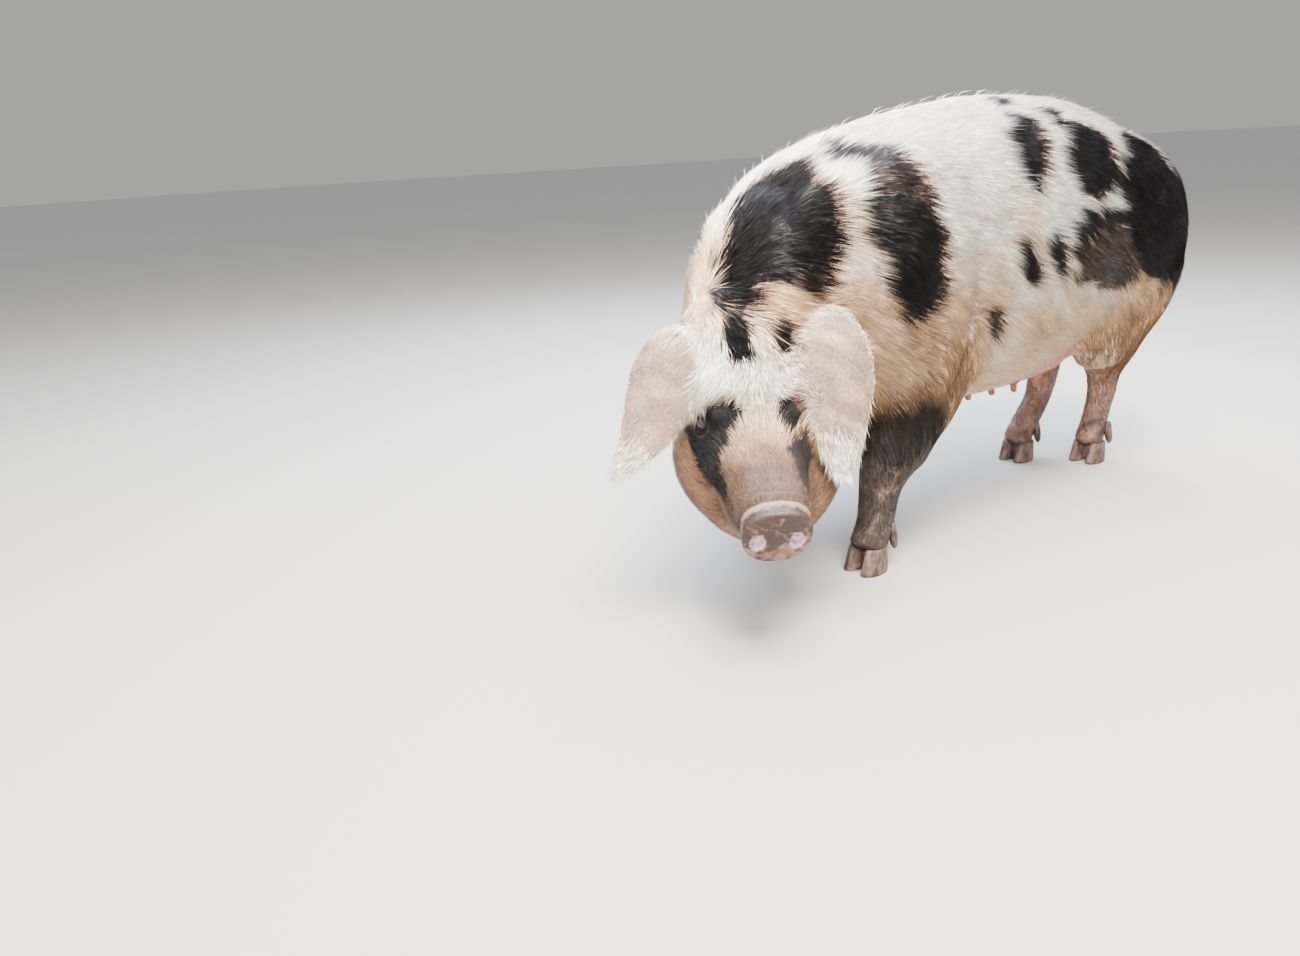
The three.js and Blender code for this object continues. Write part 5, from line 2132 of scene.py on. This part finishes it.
@dataclass
class EyePieces:
    """An eyeball with its cornea, iris and pupil, and the lids and lashes round it."""

    skin: Skin
    sign: int
    name: str
    iris: str = "#24150D"
    ring: str = "#1B0F0A"
    pupil: str = "#040404"
    white: str = "#6A5A4E"
    lash: str = "#2A211C"

    def __post_init__(self) -> None:
        """Takes the eye's place and directions."""
        self.seat = self.skin.eyes.seat[self.sign]
        self.look, self.ahead, self.up = self.skin.eyes.axes[self.sign]
        self.radius = self.skin.eyes.radius

    def direction(self, around: Array, off: Array) -> Array:
        """Unit directions from the eye's middle at angles round and off its axis."""
        flat = np.cos(around)[..., None] * self.ahead + np.sin(around)[..., None] * self.up
        return np.cos(off)[..., None] * self.look + np.sin(off)[..., None] * flat

    def ball(self, bench: Bench, material: bpy.types.Material) -> None:
        """The eyeball: a sphere whose front bulges by the cornea, r = R - 0.9 + exp(-(a / 0.62)^4).

        Args:
            bench: where meshes are made.
            material: the wet eye.
        """
        rows, columns = 56, 56
        off = np.concatenate([np.linspace(0.015, 1.25, 44), np.linspace(1.3, math.pi - 0.02, 12)])
        around = np.linspace(0, FULL_TURN, columns, endpoint=False)
        a, b = np.meshgrid(off, around, indexing="ij")
        r = self.radius - 0.9 + np.exp(-((a / 0.62) ** 4))
        ring = self.seat + self.direction(b, a) * r[..., None]
        vertices = np.vstack([ring.reshape(-1, 3), ring[0].mean(0), ring[-1].mean(0)])
        faces = [grid_faces(rows, columns), cap_faces(rows, columns)]
        if self.sign < 0:
            faces = [turned[:, ::-1] for turned in faces]
        white, pupil = linear(self.white), linear(self.pupil)
        a, b = a.ravel(), b.ravel()
        colour = blended(linear(self.iris), white, ramp(a, 0.60, 0.70))
        colour = blended(colour, linear(self.ring), bell(a, 0.60, 0.07))
        colour = blended(colour, pupil, ramp(a * np.hypot(np.cos(b) / 1.25, np.sin(b)), 0.30, 0.25))
        colour = np.vstack([colour, pupil, white])
        piece = bench.put(f"eyeball_{self.name}", vertices, faces, material, colour)
        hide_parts(f"eye_{self.name}")

    def margin(self, around: Array) -> Array:
        """Angle off the axis at which the lids' edge stands: an almond, wider than it is high."""
        high, low, wide = (math.radians(angle) for angle in (31, 27, 58))
        lift = np.where(np.sin(around) > 0, high, low)
        n = 1.75
        return ((np.abs(np.cos(around)) / wide) ** n + (np.abs(np.sin(around)) / lift) ** n) ** (-1 / n)

    def lids(self, bench: Bench, tint: Tint, regions: Regions, material: bpy.types.Material) -> None:
        """Both lids as one ring: edge, lid, fold and a skirt that sinks into the skin.

        Rows run from inside the edge outwards, first at angles off the eye's axis and distances
        from its middle, then over points on the skin itself.

        Args:
            bench: where meshes are made.
            tint: the colours.
            regions: the parts of the body.
            material: the skin.
        """
        columns = 96
        around = np.linspace(0, FULL_TURN, columns, endpoint=False)
        edge = self.margin(around)
        profile = ((-0.02, 0.955), (0.0, 1.0), (0.02, 1.07), (0.07, 1.13), (0.14, 1.17), (0.24, 1.20),
                   (0.34, 1.19), (0.42, 1.15), (0.50, 1.16), (0.60, 1.22), (0.72, 1.27), (0.86, 1.30))
        rows = []
        upper = ramp(np.sin(around), -0.2, 0.6)
        for step, reach in profile:
            heavy = 1 + (reach - 1) * (0.85 + 0.35 * upper)
            rows.append(self.seat + self.direction(around, edge + step)
                        * (self.radius * heavy)[:, None])
        flat = np.cos(around)[:, None] * self.ahead * 1.15 + np.sin(around)[:, None] * self.up
        for radius, rise in ((17.5, 2.2), (20.5, 0.8), (24.0, -0.8), (28.0, -2.6)):
            point = onto(self.skin.level, self.seat + self.look * 9 + flat * radius, 5)
            rows.append(point + unit(gradient(self.skin.level, point)) * rise)
        vertices = np.vstack(rows)
        faces = grid_faces(len(rows), columns)
        if self.sign > 0:
            faces = faces[:, ::-1]
        tone = tint.of_skin(vertices, regions.weights(vertices))
        row = (np.arange(len(vertices)) // columns).astype(float)
        rim = ramp(row, 3.2, 1.2)[:, None]
        # the lid's edge is darker; the fold of the lid, about row 7.5, is darkened as painted shade
        tone = tone * (1 - 0.45 * rim) * (1 - 0.25 * bell(row, 7.5, 1.3))[:, None]
        bench.put(f"eyelids_{self.name}", vertices, [faces], material, tone,
                  {"wet": ramp(row, 3, 1)})

    def lashes(self, bench: Bench, rng: np.random.Generator, material: bpy.types.Material) -> None:
        """Stiff lashes along the upper lid, curving out and forward over the eye.

        Args:
            bench: where meshes are made.
            rng: draws what varies from lash to lash.
            material: the bristle.
        """
        count = 70
        around = rng.uniform(0.12 * math.pi, 0.92 * math.pi, count)
        off = self.margin(around) + rng.uniform(0.03, 0.10, count)
        out = self.direction(around, off)
        root = self.seat + out * self.radius * 1.1
        sweep = unit(out * 0.5 + self.direction(around, off + 1.2) * 0.5 + self.ahead * 0.3)
        length = rng.uniform(7, 13, count)
        middle = root + (self.look * 0.7 + sweep * 0.5) * length[:, None] * 0.5
        tip = middle + (self.look * 0.4 + sweep * 0.7 + DOWN * 0.1) * length[:, None] * 0.55
        weight = np.zeros((count, len(Part)))
        roots = Roots(root, out, unit(tip - root), weight, length, np.full(count, 0.6),
                      np.full(count, 3.0), np.zeros(count))
        tone = linear(self.lash) * rng.uniform(0.5, 1.4, (count, 1))
        hairs = HairMesh(roots, [root, middle, tip], tone, True)
        place = np.column_stack([np.linspace(0.05, 0.95, count), np.full(count, 0.5)])
        bench.put(f"lashes_{self.name}", hairs.vertices, hairs.faces, material, hairs.tone,
                  uv=hairs.uv(place))


# ---- teats

@dataclass
class Teats:
    """Two rows of teats along the belly, each flaring where it leaves the skin."""

    skin: Skin
    pairs: int = 7
    first: float = -215
    pitch: float = 76
    out: float = 62
    length: float = 23
    front_share: float = 0.55
    splay: float = 0.13
    radius: float = 7.5

    def build(self, bench: Bench, material: bpy.types.Material) -> None:
        """Makes all of them as one piece, in mottled reddish tones.

        Args:
            bench: where meshes are made.
            material: the skin.
        """
        shapes, faces, count = [], [], 0
        profile = ((-7, 2.0), (0, 1.75), (4, 1.2), (9, 0.95), (16, 0.9), (21, 0.75), (23.5, 0.35))
        tip = profile[-1][0]
        high = np.arange(150.0, 400.0, 1.0)
        for pair in range(self.pairs):
            y = self.first + pair * self.pitch
            share = self.front_share + (1 - self.front_share) * pair / (self.pairs - 1)
            long = self.length / tip * share
            for sign, _ in SIDES:
                line = np.column_stack([np.full(len(high), sign * self.out), np.full(len(high), y), high])
                root = line[np.argmax(self.skin.level(line) < 0)]
                rows = np.array([[root[0] + sign * self.splay * max(drop, 0), y, root[2] - drop * long,
                                  self.radius * wide] for drop, wide in profile])
                vertices, (sides, caps) = tube(rows)
                faces += [sides + count, caps + count]
                shapes.append(vertices)
                count += len(vertices)
        vertices = np.vstack(shapes)
        mottle = Noise(61)(vertices, 9)[:, None]
        tone = blended(linear("#925850"), linear("#693E37"), 0.5 + 0.4 * mottle)
        bench.put("teats", vertices, faces, material, tone, {"wet": np.zeros(count)})


# ---- claws

@dataclass
class Claws:
    """Two weight-bearing claws and two dewclaws on each foot."""

    anatomy: Anatomy
    length: float = 31
    width: float = 17.5
    apart: float = 19.5
    slope: float = 8
    horn: str = "#6C5245"
    mud: str = "#1F1610"

    def feet(self) -> Iterator[tuple[str, float, float, int]]:
        """Name, place and side of each foot."""
        a = self.anatomy
        for sign, name in SIDES:
            yield f"foreleg_{name}", sign * a.fore_foot[0], a.fore_foot[1], sign
            ahead = a.hind_right_ahead if sign < 0 else 0
            yield f"hindleg_{name}", sign * a.hind_foot[0], a.hind_foot[1] - ahead, sign

    def claw(self, x: float, y: float, inner: int) -> tuple[Array, Array, Array]:
        """One claw: rings of a superellipse, narrower in front, that shrink towards the coronet.

        Ring t has x = width (1 - 0.18 t) |cos|^0.8 and y = length (1 - 0.18 t) sin, less the slope
        (1 - t), with the side towards the other claw flatter and the sole's edge rounded in.

        Args:
            x: place of its middle.
            y: the same.
            inner: 1 or -1, the side of the other claw.

        Returns:
            Vertices, quads and the triangles of the ends.
        """
        columns = 64
        angle = np.linspace(0, FULL_TURN, columns, endpoint=False)
        cos, sin = np.cos(angle), np.sin(angle)
        top = self.anatomy.coronet + 3
        levels = ((0.0, 0.90, 0.0), (0.0, 0.965, 1.2), (0.06, 1.0, 3.0), (0.2, 1.0, 0), (0.4, 0.995, 0),
                  (0.6, 0.985, 0), (0.8, 0.965, 0), (0.92, 0.95, 0), (1.0, 0.90, 0))
        rings = []
        for t, share, lift in levels:
            shrink = (1 - 0.18 * t) * share
            bulge = np.where(cos * inner > 0, 0.8, 1.0)
            toe = ramp(-sin, 0.2, 1.0)
            px = np.sign(cos) * np.abs(cos) ** 0.8 * self.width * shrink * bulge * (1 - 0.16 * toe)
            py = sin * self.length * shrink - self.slope * (1 - t)
            pz = np.full(columns, max(t * top, lift))
            rings.append(np.stack([x + px, y + py, pz], 1))
        vertices = np.vstack([*rings, rings[0].mean(0), rings[-1].mean(0)])
        return vertices, grid_faces(len(rings), columns), cap_faces(len(rings), columns)

    def build(self, bench: Bench, material: bpy.types.Material) -> None:
        """Makes every claw and dewclaw, each standing for its plain solid.

        Args:
            bench: where meshes are made.
            material: the horn.
        """
        noise = Noise(51)
        for foot, x, y, sign in self.feet():
            for side, where in ((-sign, "inner"), (sign, "outer")):
                vertices, faces, caps = self.claw(x + side * self.apart, y + 3, -side)
                self._finish(bench, noise, material, f"claw_{foot}_{where}", vertices, [faces, caps])
                form = self.dewclaw(x + side * self.apart, y + 38, side)
                self._finish(bench, noise, material, f"dewclaw_{foot}_{where}", *tube(form))

    @staticmethod
    def dewclaw(x: float, y: float, side: int) -> Array:
        """Stations of a dewclaw: place and radius."""
        return np.array([[x, y, 86, 9.5], [x + 2 * side, y + 6, 60, 9.5], [x + 3 * side, y + 9, 41, 6.2],
                         [x + 3 * side, y + 9, 35, 2.5]])

    def _finish(self, bench: Bench, noise: Noise, material: bpy.types.Material, name: str,
                vertices: Array, faces: list[Array]) -> None:
        """Colours a claw, tan with splashes of mud, and puts it in its solid's place.

        Args:
            bench: where meshes are made.
            noise: the splashes.
            material: the horn.
            name: the solid's name.
            vertices: the claw's.
            faces: the claw's.
        """
        mud = np.clip(0.55 + 0.4 * noise(vertices, 22) + 0.3 * noise(vertices, 8), 0, 0.97)
        tone = blended(linear(self.horn), linear(self.mud), mud)
        piece = bench.put(f"{name}_horn", vertices, faces, material, tone)
        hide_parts(name)


# ---- the studio

@dataclass
class Studio:
    """Plain floor, soft lights and the camera, in metres and degrees in the pig's frame."""

    shift: Array
    eye: tuple[float, float, float] = (1.3167, -1.6553, 0.756)
    heading: float = 55.0
    fall: float = 15.586
    roll: float = 3.55
    lens: float = 28.0
    drop: float = 0.0342
    aim: tuple[float, float, float] = (0.05, -0.1, 0.45)
    floor_reach: float = 60.0

    def camera(self) -> None:
        """The camera, level with the sow's back and looking down at her, slightly rolled."""
        h, t, r = (math.radians(v) for v in (self.heading, self.fall, self.roll))
        forward = np.array([-math.sin(h) * math.cos(t), math.cos(h) * math.cos(t), -math.sin(t)])
        level = np.array([math.cos(h), math.sin(h), 0.0])
        down = -np.cross(level, forward)
        right = level * math.cos(r) + down * math.sin(r)
        below = -level * math.sin(r) + down * math.cos(r)
        data = bpy.data.cameras.new("camera")
        data.lens, data.sensor_width, data.sensor_fit = self.lens, 36.0, "HORIZONTAL"
        data.shift_y = -self.drop
        data.clip_start, data.clip_end = 0.05, 60
        bpy.context.scene.camera = self._stand(data, (right, -below, -forward), self.eye)

    def light(self, name: str, at: tuple[float, float, float], size: float, watts: float,
              colour: str = "#FFFFFF") -> None:
        """A square soft light aimed at the middle of the body.

        Args:
            name: its name.
            at: its place.
            size: its side.
            watts: its power.
            colour: its colour.
        """
        data = bpy.data.lights.new(name, "AREA")
        data.shape, data.size, data.energy = "SQUARE", size, watts
        data.color = linear(colour)
        back = unit(np.array(at) - np.array(self.aim))
        side = unit(np.cross(-DOWN, back))
        self._stand(data, (side, np.cross(back, side), back), at)

    def _stand(self, data: bpy.types.ID, axes: Sequence[Array], at: Sequence[float]) -> bpy.types.Object:
        """Puts a camera or lamp in the scene.

        Args:
            data: what it shows or how it shines.
            axes: its own x, y and z directions.
            at: its place.

        Returns:
            Its object.
        """
        turn = np.eye(4)
        turn[:3, :3] = np.stack(axes, 1)
        turn[:3, 3] = np.array(at) + self.shift
        thing = bpy.data.objects.new(data.name, data)
        thing.matrix_world = Matrix(turn.tolist())
        bpy.context.scene.collection.objects.link(thing)
        return thing

    def build(self) -> None:
        """Sets up everything round the sow."""
        self.camera()
        self.light("key", (1.2, -1.0, 3.1), 1.7, 800, "#FFF6EA")
        self.light("sky", (-0.3, 0.5, 3.2), 3.4, 540, "#EEF3FF")
        self.light("fill", (2.0, -2.6, 1.3), 2.2, 220, "#FFFDF8")
        self.light("behind", (-1.7, 1.1, 2.5), 2.2, 315, "#D6E4FF")
        world = bpy.data.worlds.new("studio")
        world.use_nodes = True
        tree = world.node_tree
        seen = add_node(tree, "ShaderNodeLightPath").outputs["Is Camera Ray"]
        tone = add_node(tree, "ShaderNodeMix", {
            "Factor": seen, 6: (*linear("#E6EAF0"), 1), 7: (*linear("#A5A5A3"), 1)}, data_type="RGBA")
        tree.links.new(tone.outputs[2], tree.nodes["Background"].inputs["Color"])
        tree.nodes["Background"].inputs["Strength"].default_value = 1.2
        bpy.context.scene.world = world
        mesh = bpy.data.meshes.new("floor")
        corners = [(x * self.floor_reach, y * self.floor_reach, 0)
                   for x, y in ((-1, -1), (1, -1), (1, 1), (-1, 1))]
        mesh.from_pydata(corners, [], [(0, 1, 2, 3)])
        mesh.materials.append(StudioFloor().make())
        floor = bpy.data.objects.new("floor", mesh)
        bpy.context.scene.collection.objects.link(floor)
        floor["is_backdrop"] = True


# ---- the whole

FLESH_NODES = ("trunk", "neck", "head", "snout_disc", "ear_left", "ear_right", "tail", "foreleg_left",
               "foreleg_right", "hindleg_left", "hindleg_right")


def main() -> None:
    """Builds the studio and the sow, piece by piece."""
    logging.basicConfig(level=logging.INFO, format="%(name)s: %(message)s")
    bench = Bench(part_shift())
    Studio(bench.shift).build()
    anatomy = Anatomy()
    eyes = Eyes(anatomy)
    skin = Skin(anatomy, eyes)
    regions = Regions(anatomy, skin)
    tint = Tint(anatomy, Markings(anatomy), skin.elbow_fold)
    skin_finish, bristle = PigSkin().make(), Bristle().make()

    surface = skin.build()
    normals = surface.normals()
    weight = regions.weights(surface.vertices)
    nose = ramp((surface.vertices - anatomy.disc_middle) @ anatomy.disc.forward, -14, -6)
    nose *= ramp(np.linalg.norm(surface.vertices - anatomy.disc_middle, axis=1), 90, 75)
    piece = bench.put("skin", surface.vertices, [surface.faces], skin_finish,
                      tint.of_skin(surface.vertices, weight), {"wet": 0.4 * nose})
    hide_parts(*FLESH_NODES)

    coat = Coat(anatomy, skin, regions, tint)
    roots = coat.sow(surface, normals, 1.0)
    LOG.info("%d hairs", len(roots))
    coat_pieces(bench, coat, roots, bristle)

    wet_eye = WetEye().make()
    for sign, name in SIDES:
        eye = EyePieces(skin, sign, name)
        eye.ball(bench, wet_eye)
        eye.lids(bench, tint, regions, skin_finish)
        eye.lashes(bench, coat.rng, bristle)
    Teats(skin).build(bench, skin_finish)
    Claws(anatomy).build(bench, ClawHorn().make())
    LOG.info("%d triangles in all", bench.triangles)

    boxes = {"cad": CAD_BOX, "visual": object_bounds()}
    {key: [[float(v) for v in corner] for corner in box] for key, box in boxes.items()}


if __name__ == "__main__":
    main()
